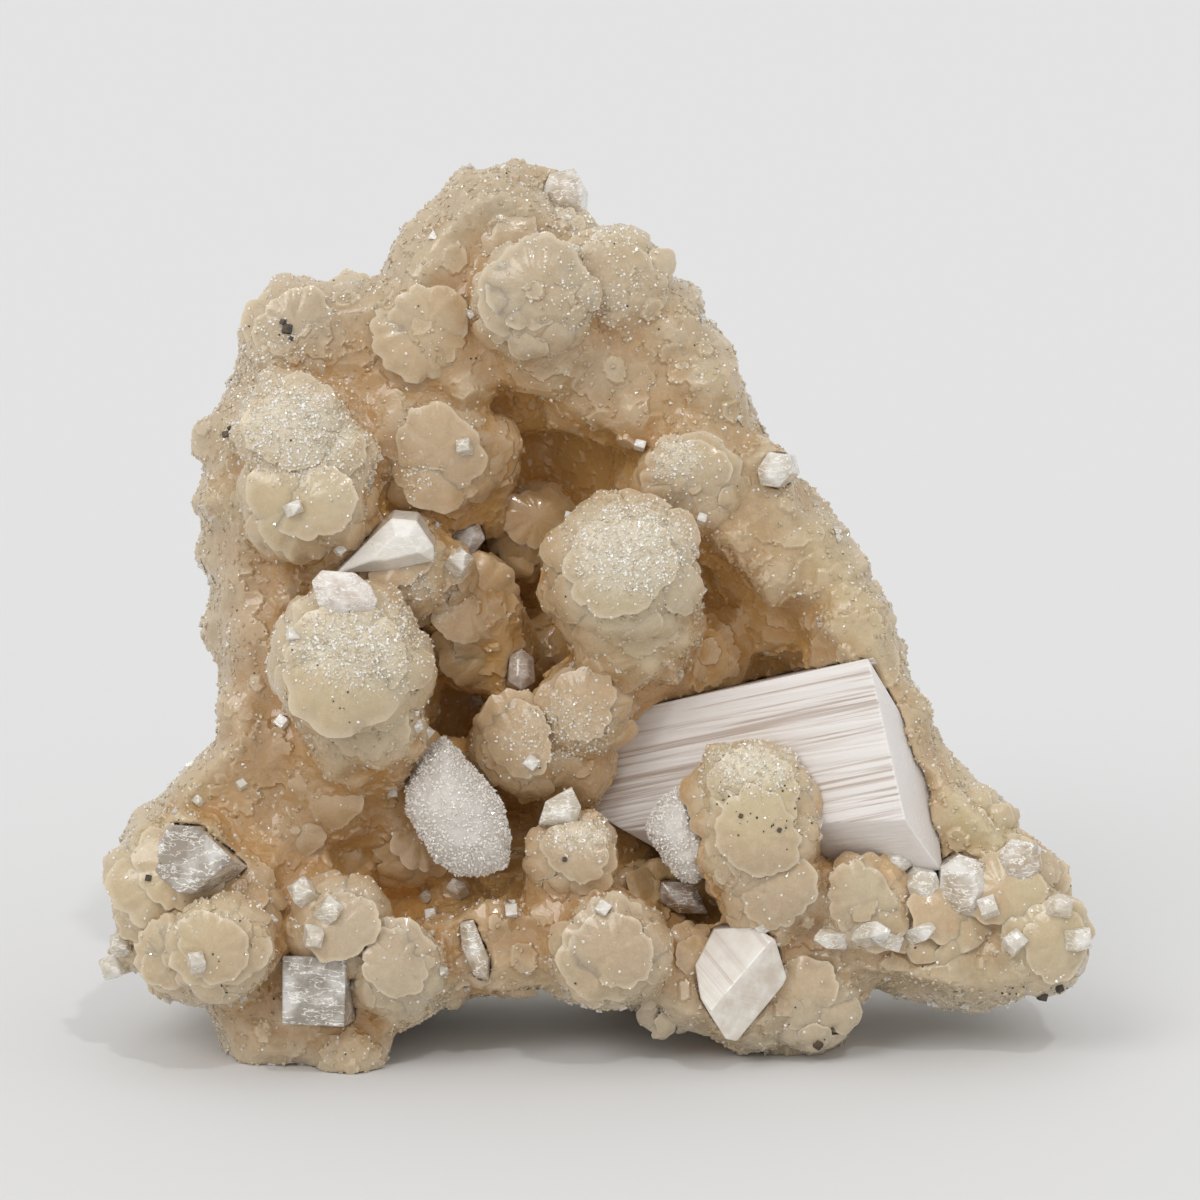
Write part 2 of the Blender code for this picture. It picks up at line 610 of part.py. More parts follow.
def pillow_solid(outline, depth, thickness, margin):
    """A rounded solid with the given outline, widest at its own depth."""
    middle = outline_middle(outline)
    grow = 1 + margin / UNIT / min(abs((spot - middle).dot(out)) for spot, out in outward_walls(outline))
    bm = bmesh.new()
    for share, back in PILLOW_RINGS:
        for x, z in outline:
            spot = middle + (Vector((x, 0, z)) - middle) * share * grow
            spot.y = depth + back * (thickness + margin / UNIT)
            bm.verts.new(spot * UNIT)
    made = bmesh.ops.convex_hull(bm, input=bm.verts)
    spare = {v for v in made["geom_interior"] + made["geom_unused"] if isinstance(v, bmesh.types.BMVert)}
    bmesh.ops.delete(bm, geom=list(spare), context="VERTS")
    bmesh.ops.recalc_face_normals(bm, faces=bm.faces)
    return bm


def front_depth(nodes, middle):
    """Depth of the first surface that the line of sight meets."""
    graph = bpy.context.evaluated_depsgraph_get()
    depths = []
    before = at(middle.x, -60, middle.z)
    for node in nodes:
        hit = BVHTree.FromObject(node, graph).ray_cast(before, Vector((0, 1, 0)))[0]
        if hit:
            depths.append(hit.y / UNIT)
    return min(depths)


def gem_solid(outline, lift, surface, turn, margin):
    """A small crystal that stands on the crust, with a bevel round its top."""
    middle = outline_middle(outline)
    middle.y = surface
    walls = outward_walls(outline)
    size = min((spot - middle).dot(out) for spot, out in walls)
    top = Vector((0, -1, 0))
    planes = [(Vector((0, surface - lift, 0)), top), (Vector((0, surface + GEM_SINK, 0)), -top)]
    for spot, out in walls:
        planes.append((spot, out))
        shoulder = Vector((spot.x, surface - lift + GEM_BEVEL * size, spot.z))
        planes.append((shoulder, (out + top).normalized()))
    turned = [(middle + turn @ (spot - middle), turn @ out) for spot, out in planes]
    return solid_between(turned, middle, margin)


def boxes_touch(one, other):
    """Whether two objects' boxes overlap."""
    ends = []
    for node in (one, other):
        corners = np.array([v.co for v in node.data.vertices])
        ends.append((corners.min(axis=0), corners.max(axis=0)))
    return bool(np.all(ends[0][0] < ends[1][1]) and np.all(ends[1][0] < ends[0][1]))


def cut_away(node, cutter):
    """Takes the cutter's space out of a node."""
    cut = node.modifiers.new("cut", "BOOLEAN")
    cut.operation = "DIFFERENCE"
    cut.solver = "MANIFOLD"
    cut.object = cutter
    apply_modifiers(node)
    keep_largest_piece(node)


def seat(name, look, solid, crust, seated):
    """Adds a crystal, cut clear of earlier ones, and cuts its socket in the crust."""
    crystal = new_object(name, mesh_of(solid(0), name), look)
    for earlier, cutter in seated:
        if boxes_touch(crystal, cutter):
            cut_away(crystal, cutter)
    cutter = new_object(name + " socket", mesh_of(solid(SEAT_GAP), name), look)
    cut_away(crust, cutter)
    seated.append((crystal, cutter))


def seat_crystals(crust):
    """Makes the crystals, each in its own socket."""
    chance = random.Random(SEED)
    seated = []
    for name, (outline, back, faces) in BLOCKS.items():
        planes = block_planes(outline, back, faces)
        middle = outline_middle(outline)
        seat(name, CLEAR_FINISH, lambda margin: solid_between(planes, middle, margin), crust, seated)
    for name, (outline, depth, size) in SPINDLES.items():
        seat(name, WHITE_FINISH, lambda margin: pillow_solid(outline, depth, size, margin), crust, seated)
    for name, (outline, lift) in GEMS.items():
        there = [crust] + [crystal for crystal, cutter in seated]
        surface = front_depth(there, outline_middle(outline))
        lean_x = Matrix.Rotation(chance.uniform(-GEM_TILT, GEM_TILT), 3, "X")
        lean_z = Matrix.Rotation(chance.uniform(-GEM_TILT, GEM_TILT), 3, "Z")
        turn = lean_x @ lean_z

        def solid(margin):
            return gem_solid(outline, lift, surface, turn, margin)

        seat(name, CLEAR_FINISH, solid, crust, seated)
    for crystal, cutter in seated:
        bpy.data.objects.remove(cutter)
    return [crystal for crystal, cutter in seated]


def lean_back(nodes):
    """Turns everything from the face's frame to its stance."""
    for node in nodes:
        node.data.transform(Matrix.Rotation(-FACE_LEAN, 4, "X"))


def cut_feet(crust):
    """Takes off what lies under the level that the cluster stands on."""
    bm = bmesh.new()
    size = 4 * CLUSTER_WIDTH
    bmesh.ops.create_cube(bm, size=size, matrix=Matrix.Translation((0, 0, FOOT_LEVEL - size / 2)))
    ground = new_object("ground", mesh_of(bm, "ground"), CRUST_FINISH)
    cut_away(crust, ground)
    bpy.data.objects.remove(ground)


def stand_on_origin(nodes):
    """Moves everything so that its box stands on the origin."""
    corners = np.array([v.co for node in nodes for v in node.data.vertices])
    low, high = corners.min(axis=0), corners.max(axis=0)
    shift = Vector((-(low[0] + high[0]) / 2, -(low[1] + high[1]) / 2, -low[2]))
    for node in nodes:
        node.data.transform(Matrix.Translation(shift))


def main():
    for old in list(bpy.data.objects):
        bpy.data.objects.remove(old)
    crust = crust_node()
    crystals = seat_crystals(crust)
    lean_back([crust] + crystals)
    cut_feet(crust)
    stand_on_origin([crust] + crystals)


main()
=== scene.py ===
# The apophyllite cluster, dressed: fine druse, clear and striated crystals, sugar grains
import json
import math
import random

import bpy
import numpy as np
from mathutils import Matrix, Vector
from mathutils.bvhtree import BVHTree
from mathutils.kdtree import KDTree


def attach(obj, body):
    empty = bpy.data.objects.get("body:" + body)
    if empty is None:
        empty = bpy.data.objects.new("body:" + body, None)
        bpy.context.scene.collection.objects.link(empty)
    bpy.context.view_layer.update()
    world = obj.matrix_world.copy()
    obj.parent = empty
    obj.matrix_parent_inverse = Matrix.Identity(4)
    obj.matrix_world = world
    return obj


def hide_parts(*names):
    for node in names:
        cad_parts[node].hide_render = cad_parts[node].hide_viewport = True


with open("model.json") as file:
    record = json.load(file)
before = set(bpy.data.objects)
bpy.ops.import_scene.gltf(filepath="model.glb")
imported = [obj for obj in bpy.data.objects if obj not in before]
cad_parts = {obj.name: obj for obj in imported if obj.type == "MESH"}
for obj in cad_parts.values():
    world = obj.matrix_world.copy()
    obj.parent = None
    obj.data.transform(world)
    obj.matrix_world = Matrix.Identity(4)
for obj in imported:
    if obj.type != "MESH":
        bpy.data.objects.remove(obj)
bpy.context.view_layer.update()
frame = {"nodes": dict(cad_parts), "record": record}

mm = 0.001
record = frame["record"]
nodes = frame["nodes"]


def clearSelection():
    if bpy.context.object and bpy.context.object.mode != "OBJECT":
        bpy.ops.object.mode_set(mode="OBJECT")
    bpy.ops.object.select_all(action="DESELECT")


def pick(piece):
    clearSelection()
    piece.select_set(True)
    bpy.context.view_layer.objects.active = piece


def placed(name, data):
    # a new object in the scene
    made = bpy.data.objects.new(name, data)
    bpy.context.scene.collection.objects.link(made)
    return made


def inEditMode(piece, operator, **settings):
    # runs one operator on the whole mesh of a piece
    pick(piece)
    bpy.ops.object.mode_set(mode="EDIT")
    bpy.ops.mesh.select_all(action="SELECT")
    operator(**settings)
    bpy.ops.object.mode_set(mode="OBJECT")


def applied(piece, kind, **settings):
    # adds one modifier and applies it at once
    pick(piece)
    modifier = piece.modifiers.new(kind.lower(), kind)
    for name, value in settings.items():
        setattr(modifier, name, value)
    bpy.ops.object.modifier_apply(modifier=modifier.name)


def copyOfNode(nodeName, pieceName):
    # a copy of a CAD node as one merged mesh
    piece = placed(pieceName, nodes[nodeName].data.copy())
    piece.data.name = pieceName
    inEditMode(piece, bpy.ops.mesh.remove_doubles, threshold=0.00001)
    return piece


def finished(piece, material, slot, *nodeNames):
    # gives a piece its material and its body, and hides the CAD nodes that it stands for
    piece.data.materials.clear()
    piece.data.materials.append(material)
    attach(piece, "root")
    if nodeNames:
        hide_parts(*nodeNames)


# Shader maths: a wire is a socket that takes part in Python sums
class Wire:
    def __init__(self, paint, socket):
        self.paint = paint
        self.socket = socket

    def maths(self, operation, first, second=0.0):
        return self.paint.add("ShaderNodeMath", {"operation": operation}, {0: first, 1: second})

    def size(self):
        return self.maths("ABSOLUTE", self)

    def __add__(self, other):
        return self.maths("ADD", self, other)

    def __radd__(self, other):
        return self.maths("ADD", other, self)

    def __sub__(self, other):
        return self.maths("SUBTRACT", self, other)

    def __rsub__(self, other):
        return self.maths("SUBTRACT", other, self)

    def __mul__(self, other):
        return self.maths("MULTIPLY", self, other)

    def __rmul__(self, other):
        return self.maths("MULTIPLY", other, self)

    def least(self, other):
        return self.maths("MINIMUM", self, other)


class Paint:
    def __init__(self, name):
        self.material = bpy.data.materials.new(name)
        self.material.use_nodes = True
        self.tree = self.material.node_tree
        self.tree.nodes.clear()

    def add(self, kind, settings=None, sockets=None, output=0):
        node = self.tree.nodes.new(kind)
        for name, value in (settings or {}).items():
            setattr(node, name, value)
        for name, value in (sockets or {}).items():
            if isinstance(value, Wire):
                self.tree.links.new(value.socket, node.inputs[name])
            else:
                node.inputs[name].default_value = value
        return Wire(self, node.outputs[output]) if node.outputs else None

    def place(self):
        return self.add("ShaderNodeTexCoord", output="Object")

    def stretched(self, scale, turn):
        return self.add("ShaderNodeMapping", None, {"Vector": self.place(), "Scale": scale, "Rotation": turn})

    def noise(self, perMm, detail=3.0, roughness=0.5, vector=None):
        values = {"Scale": perMm / mm, "Detail": detail, "Roughness": roughness}
        values["Vector"] = vector or self.place()
        return self.add("ShaderNodeTexNoise", None, values, "Fac")

    def cells(self, perMm):
        values = {"Vector": self.place(), "Scale": perMm / mm}
        return self.add("ShaderNodeTexVoronoi", None, values, "Distance")

    def vectors(self, operation, first, second, output="Vector"):
        # the second value is a vector, or the factor of a scaling
        socket = "Scale" if operation == "SCALE" else 1
        return self.add("ShaderNodeVectorMath", {"operation": operation}, {0: first, socket: second}, output)

    def attribute(self, name):
        return self.add("ShaderNodeAttribute", {"attribute_name": name}, None, "Fac")

    def ramp(self, value, low, high):
        span = {"Value": value, "From Min": low, "From Max": high}
        return self.add("ShaderNodeMapRange", {"clamp": True}, span)

    def mixed(self, factor, first, second):
        values = {0: factor, 6: first, 7: second}
        return self.add("ShaderNodeMix", {"data_type": "RGBA"}, values, 2)

    def bump(self, height, strength, distance, normal=None):
        values = {"Height": height, "Strength": strength, "Distance": distance}
        if normal:
            values["Normal"] = normal
        return self.add("ShaderNodeBump", None, values)

    def finish(self, **sockets):
        # the surface shader: each name is a socket's, with its first letter small and no spaces
        shader = self.tree.nodes.new("ShaderNodeBsdfPrincipled")
        plain = {socket.name.replace(" ", "").lower(): socket.name for socket in shader.inputs}
        self.tree.nodes.remove(shader)
        values = {plain[name.lower()]: value for name, value in sockets.items()}
        return self.add("ShaderNodeBsdfPrincipled", None, values)

    def done(self, surface):
        self.add("ShaderNodeOutputMaterial", None, {"Surface": surface})
        return self.material


# The face of the cluster is set out in photograph pixels, or in mm from the middle and the left foot
faceLook = {
    "lean": math.radians(12), "shift": Vector((0.15, -15.04, -0.85)),
    "middlePixel": 600, "footPixel": 1067, "pixelsPerMm": 10,
}
sight = Vector((0, math.cos(faceLook["lean"]), -math.sin(faceLook["lean"])))


def onFace(x, z, depth):
    # a point of the face, from mm to the right, up and into the hollow
    cosine, sine = math.cos(faceLook["lean"]), math.sin(faceLook["lean"])
    return (Vector((x, cosine * depth + sine * z, cosine * z - sine * depth)) + faceLook["shift"]) * mm


def atPixel(px, py):
    perMm = faceLook["pixelsPerMm"]
    return (px - faceLook["middlePixel"]) / perMm, (faceLook["footPixel"] - py) / perMm


def facePlaces(spots):
    # how far right and up on the face each point lies, in mm
    moved = spots / mm - np.array(faceLook["shift"])
    cosine, sine = math.cos(faceLook["lean"]), math.sin(faceLook["lean"])
    return moved[:, 0], sine * moved[:, 1] + cosine * moved[:, 2]


print("crust")
crustLook = {
    # the two halves: remeshed sizes, where they meet in mm into the hollow, how far each goes past it
    "fineVoxel": 0.38 * mm, "frontTriangles": 185000, "backVoxel": 0.8 * mm, "splitAt": 17.5, "overlap": 1.2,
    "smoothing": 0.5, "frontSmooth": 12, "backSmooth": 2,
    # rays that tell how closed in a point is, from a little off the surface, in mm
    "recessRays": 48, "recessReach": 30 * mm, "recessStart": 0.3,
    # rosettes, then the tiers of petals round each one
    "rosetteGap": 7.0 * mm, "gapSpread": (0.75, 1.3), "openJitter": 0.08, "petals": (7, 11),
    "tierWidth": (1.9 * mm, 3.0 * mm), "tierHeight": (0.15 * mm, 0.38 * mm), "tierTurn": 1.7,
    "tierSunk": 0.35, "scallop": 0.34, "wobble": 0.45 * mm, "wobbleSize": 2.2 * mm, "turn": 0.2,
    "turnSize": 3 * mm, "normalPasses": 3, "seed": 5,
    # the amber colour is painted shade for closed-in places, and the brighter amber after it is a painted
    # glow for the deepest hollows
    "cream": (0.47, 0.33, 0.175, 1), "amber": (0.47, 0.27, 0.105, 1), "deepest": (0.66, 0.39, 0.13, 1),
    # the pale colour is also the painted highlight on rims and petal edges
    "pale": (0.69, 0.59, 0.43, 1), "grey": (0.44, 0.345, 0.225, 1), "sugar": (0.74, 0.67, 0.53, 1),
    "tan": (0.37, 0.23, 0.125, 1), "yellow": (0.55, 0.455, 0.24, 1), "outer": (0.62, 0.54, 0.43, 1),
    "rock": (0.40, 0.36, 0.30, 1), "basalt": (0.10, 0.11, 0.085, 1),
}


def cellTexture(name, size):
    texture = bpy.data.textures.new(name, "VORONOI")
    texture.noise_scale = size
    return texture


def keepSide(piece, depth, front):
    # cuts a piece along the face at a depth and closes the cut
    inEditMode(
        piece, bpy.ops.mesh.bisect, plane_co=onFace(0, 0, depth), plane_no=sight, use_fill=True,
        clear_outer=front, clear_inner=not front,
    )


def closedIn(piece):
    # how closed in each point of the coarse crust is, from rays over its half of the sky
    tree = BVHTree.FromObject(piece, bpy.context.evaluated_depsgraph_get())
    golden = math.pi * (3 - math.sqrt(5))
    rays = []
    for k in range(crustLook["recessRays"]):
        up = 1 - (k + 0.5) / crustLook["recessRays"]
        out = math.sqrt(1 - up * up)
        rays.append(Vector((out * math.cos(k * golden), out * math.sin(k * golden), up)))
    shares = []
    for vertex in piece.data.vertices:
        turn = vertex.normal.to_track_quat("Z", "Y")
        start = vertex.co + vertex.normal * crustLook["recessStart"] * mm
        hits = sum(
            1 for ray in rays if tree.ray_cast(start, turn @ ray, crustLook["recessReach"])[0] is not None
        )
        shares.append(hits / len(rays))
    return shares


def treeOf(spots):
    tree = KDTree(len(spots))
    for k, spot in enumerate(spots):
        tree.insert(spot, k)
    tree.balance()
    return tree


def rosettesOn(piece, shares, crowns):
    # crowns of the lumps: those given, then the most open points, each a set way from those already chosen
    chance = random.Random(crustLook["seed"])
    order = sorted(range(len(shares)), key=lambda k: shares[k] + chance.uniform(0, crustLook["openJitter"]))
    places = [(spot, facing, True) for spot, facing in crowns]
    places += [(piece.data.vertices[k].co.copy(), piece.data.vertices[k].normal.copy(), False) for k in order]
    rosettes = []
    for spot, facing, given in places:
        if given or all((spot - other["spot"]).length > other["gap"] for other in rosettes):
            rosettes.append({
                "spot": spot, "facing": facing, "side": facing.orthogonal().normalized(),
                "gap": crustLook["rosetteGap"] * chance.uniform(*crustLook["gapSpread"]),
                "petals": chance.randint(*crustLook["petals"]),
                "width": chance.uniform(*crustLook["tierWidth"]),
                "height": chance.uniform(*crustLook["tierHeight"]),
                "start": chance.uniform(0, 10),
            })
    return rosettes


def readVectors(items, name):
    values = np.empty(len(items) * 3, dtype=np.float32)
    items.foreach_get(name, values)
    return values.reshape(-1, 3).astype(np.float64)


def writeSpots(piece, spots):
    piece.data.vertices.foreach_set("co", spots.astype(np.float32).ravel())
    piece.data.update()


def ramped(values, start, span):
    # 0 at the start and 1 after the span, which may run downwards
    return np.clip((values - start) / span, 0, 1)


def addAttribute(piece, name, values):
    attribute = piece.data.attributes.new(name, "FLOAT", "POINT")
    attribute.data.foreach_set("value", np.asarray(values, dtype=np.float32))


def smoothed(mesh, values, passes):
    # averages values over neighbouring points
    ends = np.empty(len(mesh.edges) * 2, dtype=np.int32)
    mesh.edges.foreach_get("vertices", ends)
    ends = ends.reshape(-1, 2)
    count = len(mesh.vertices)
    degree = np.maximum(np.bincount(ends.ravel(), minlength=count), 1)[:, None]
    for step in range(passes):
        total = np.zeros_like(values)
        for axis in range(values.shape[1]):
            total[:, axis] += np.bincount(ends[:, 0], weights=values[ends[:, 1], axis], minlength=count)
            total[:, axis] += np.bincount(ends[:, 1], weights=values[ends[:, 0], axis], minlength=count)
        values = total / degree
    return values


waveLook = {"count": 14, "calm": 3.7}


def wobble(spots, size, seed):
    # a smooth uneven value in space, mostly between -1 and 1, from a few crossing waves
    waves = np.random.default_rng(seed).normal(size=(waveLook["count"], 3)) / size
    starts = np.random.default_rng(seed + 1).uniform(0, 2 * math.pi, waveLook["count"])
    return np.sin(spots @ waves.T + starts).sum(axis=1) / waveLook["calm"]


def growPetals(piece, rosettes):
    # raises overlapping tiers of scalloped petals round each crown
    mesh = piece.data
    spots = readVectors(mesh.vertices, "co")
    normals = smoothed(mesh, readVectors(mesh.vertices, "normal"), crustLook["normalPasses"])
    tree = treeOf([rosette["spot"] for rosette in rosettes])
    nearest = np.array([tree.find(spot)[1] for spot in spots])
    crowns = np.array([rosette["spot"] for rosette in rosettes])[nearest]
    facings = np.array([rosette["facing"] for rosette in rosettes])[nearest]
    sides = np.array([rosette["side"] for rosette in rosettes])[nearest]
    petals, widths, heights, starts = [
        np.array([rosette[key] for rosette in rosettes])[nearest]
        for key in ("petals", "width", "height", "start")
    ]
    away = spots - crowns
    reach = np.linalg.norm(away, axis=1) + crustLook["wobble"] * wobble(spots, crustLook["wobbleSize"], 3)
    angle = np.arctan2((away * np.cross(facings, sides)).sum(axis=1), (away * sides).sum(axis=1))
    angle = angle + crustLook["turn"] * wobble(spots, crustLook["turnSize"], 7)
    tier = np.floor(reach / widths)
    turned = (petals + tier) * angle / 2 + starts + crustLook["tierTurn"] * tier
    lobes = np.abs(np.sin(turned)) * np.clip(tier, 0, 1)
    place = reach / widths - crustLook["scallop"] * lobes + 0.5
    share = place - np.floor(place)
    lift = heights * (share ** 2 - crustLook["tierSunk"])
    spots = spots + normals * lift[:, None]
    spots[:, 2] = np.maximum(spots[:, 2], 0)
    writeSpots(piece, spots)
    # where each point lies across its tier, up to 1 towards the lip, which the druse paint turns into a
    # painted highlight on the lips
    addAttribute(piece, "petal", share)


faceShades = {
    # sparkling tops: middle and half size in photograph pixels, share
    "frost": (
        (302, 432, 66, 46, 1.0), (632, 550, 56, 44, 1.2), (365, 645, 62, 42, 0.9), (675, 460, 26, 22, 0.8),
        (560, 728, 56, 42, 0.4), (430, 600, 34, 30, 0.6), (580, 832, 42, 22, 0.6), (755, 762, 52, 26, 0.9),
        (395, 480, 40, 26, 0.4), (600, 215, 60, 40, 0.4), (600, 300, 50, 40, 0.25), (260, 360, 60, 40, 0.3),
    ),
    # browner druse, in the same way
    "tan": (
        (552, 735, 84, 62, 1.0), (430, 470, 62, 60, 0.7), (500, 640, 60, 60, 0.5), (350, 820, 90, 80, 0.8),
        (620, 930, 170, 50, 0.8), (560, 300, 110, 70, 0.35), (520, 880, 120, 60, 0.8),
        (300, 940, 60, 60, 0.4), (300, 300, 80, 60, 0.4), (760, 900, 90, 50, 0.6),
        (930, 945, 130, 50, 0.5), (240, 640, 46, 120, 0.6), (440, 930, 60, 40, 0.6), (280, 1020, 80, 40, 0.4),
    ),
    # yellower druse
    "yellow": (
        (756, 775, 64, 60, 1.0), (1000, 850, 150, 150, 0.9), (365, 660, 80, 90, 0.7), (632, 600, 70, 60, 0.5),
        (300, 510, 70, 50, 0.5), (860, 560, 60, 200, 0.5), (560, 920, 60, 60, 0.6), (190, 860, 90, 90, 0.5),
        (600, 200, 80, 60, 0.4),
    ),
}
shadeLook = {
    # how many points of the coarse crust count for one of the fine crust, and how evenly, in mm
    "near": 4, "evenness": 0.2,
    # the painted amber shade of hollows on the outer sides is toned down: how much, on which sides, below
    # which recess
    "calm": 0.8, "side": (-0.35, 0.4), "shallow": (0.60, -0.15),
    # where the outer sides and the rock of the back begin
    "outerFrom": 0.75, "outerShare": 1.1, "outerRecess": 1.2, "rock": (10, 8), "rockTilt": 0.6,
    "proudPasses": 8, "proudOver": 0.45 * mm, "normalPasses": 3, "grazing": 0.2,
}


def patchesAt(spots, normals, patches):
    # how much each point lies in some patches of the face, on the side that faces the viewer
    right, up = facePlaces(spots)
    perMm = faceLook["pixelsPerMm"]
    weight = np.zeros(len(spots))
    for px, py, wide, tall, share in patches:
        x, z = atPixel(px, py)
        gap = ((right - x) / (wide / perMm)) ** 2 + ((up - z) / (tall / perMm)) ** 2
        weight += share * np.exp(-gap ** 2)
    return weight * np.clip(-(normals @ np.array(sight)) + shadeLook["grazing"], 0, 1)


def shadePoints(piece, coarse, shares, loose=False):
    # the attributes that the druse paint reads; loose grains count as facing the viewer
    mesh = piece.data
    spots = readVectors(mesh.vertices, "co")
    normals = readVectors(mesh.vertices, "normal")
    tree = treeOf([vertex.co for vertex in coarse.data.vertices])
    facings = [vertex.normal.dot(sight) for vertex in coarse.data.vertices]
    recess, turned = [], []
    for spot in spots:
        near = tree.find_n(spot, shadeLook["near"])
        weights = [1 / (gap + shadeLook["evenness"] * mm) for place, index, gap in near]
        recess.append(sum(w * shares[n[1]] for w, n in zip(weights, near)) / sum(weights))
        turned.append(sum(w * facings[n[1]] for w, n in zip(weights, near)) / sum(weights))
    recess, turned = np.array(recess), np.array(turned)
    # hollows of the outer sides count for less than those of the face, so they get less painted shade
    calmed = shadeLook["calm"] * ramped(turned, *shadeLook["side"])
    recess *= 1 - calmed * ramped(recess, *shadeLook["shallow"])
    # how closed in each point is, which the druse paint turns into amber painted shade
    addAttribute(piece, "recess", recess)
    openness = shadeLook["outerShare"] - shadeLook["outerRecess"] * recess
    addAttribute(piece, "outer", np.clip((turned + shadeLook["outerFrom"]) * openness, 0, 1))
    back = ramped(spots[:, 1] / mm, *shadeLook["rock"])
    addAttribute(piece, "behind", back * np.clip(normals[:, 1] + shadeLook["rockTilt"], 0, 1))
    # how far each point stands proud of its neighbours, which the druse paint turns into a painted highlight
    # on rims
    proud = ((spots - smoothed(mesh, spots, shadeLook["proudPasses"])) * normals).sum(axis=1)
    addAttribute(piece, "rim", np.clip(proud / shadeLook["proudOver"] + 0.5, 0, 1))
    towardsViewer = np.tile(-np.array(sight), (len(spots), 1))
    facing = towardsViewer if loose else smoothed(mesh, normals, shadeLook["normalPasses"])
    addAttribute(piece, "frost", patchesAt(spots, facing, faceShades["frost"]))
    for shade in ("tan", "yellow"):
        addAttribute(piece, shade, np.clip(patchesAt(spots, facing, faceShades[shade]), 0, 1))
    if "petal" not in mesh.attributes:
        addAttribute(piece, "petal", np.zeros(len(spots)))


rockLook = {
    # broken faces of the back: count, tilt, how deep, from which depth on, how much they are softened
    "count": 260, "tilt": 0.35, "deep": 1.6 * mm, "middle": 0.6 * mm, "begins": (10, 8), "seed": 9,
    "normalPasses": 14, "heightPasses": 2,
}


def chipRock(piece):
    # breaks the back into tilted facets with softened borders, always inwards
    chance = np.random.default_rng(rockLook["seed"])
    spots = readVectors(piece.data.vertices, "co")
    normals = smoothed(piece.data, readVectors(piece.data.vertices, "normal"), rockLook["normalPasses"])
    seeds = chance.uniform(spots.min(axis=0), spots.max(axis=0), (rockLook["count"], 3))
    tilts = chance.normal(scale=rockLook["tilt"], size=(rockLook["count"], 3))
    tree = treeOf(seeds)
    nearest = np.array([tree.find(spot)[1] for spot in spots])
    heights = ((spots - seeds[nearest]) * tilts[nearest]).sum(axis=1) + rockLook["middle"]
    heights = np.clip(heights, 0, rockLook["deep"])[:, None]
    heights = smoothed(piece.data, heights, rockLook["heightPasses"])[:, 0]
    weight = ramped(spots[:, 1] / mm, *rockLook["begins"]) * np.clip(normals[:, 1], 0, 1)
    spots -= normals * (heights * weight)[:, None]
    spots[:, 2] = np.maximum(spots[:, 2], 0)
    writeSpots(piece, spots)


def crustHalf(name, voxel, front, rosettes):
    # one half of the crust, remeshed: the front with petals and fewer triangles, the back with broken rock
    piece = copyOfNode("druse_crust", name)
    applied(piece, "REMESH", mode="VOXEL", voxel_size=voxel)
    keepSide(piece, crustLook["splitAt"] + (crustLook["overlap"] if front else -crustLook["overlap"]), front)
    passes = crustLook["frontSmooth"] if front else crustLook["backSmooth"]
    applied(piece, "SMOOTH", factor=crustLook["smoothing"], iterations=passes)
    growPetals(piece, rosettes)
    if front:
        applied(piece, "DECIMATE", ratio=crustLook["frontTriangles"] / (2 * len(piece.data.polygons)))
    else:
        chipRock(piece)
    print(name, sum(len(face.vertices) - 2 for face in piece.data.polygons))
    return piece


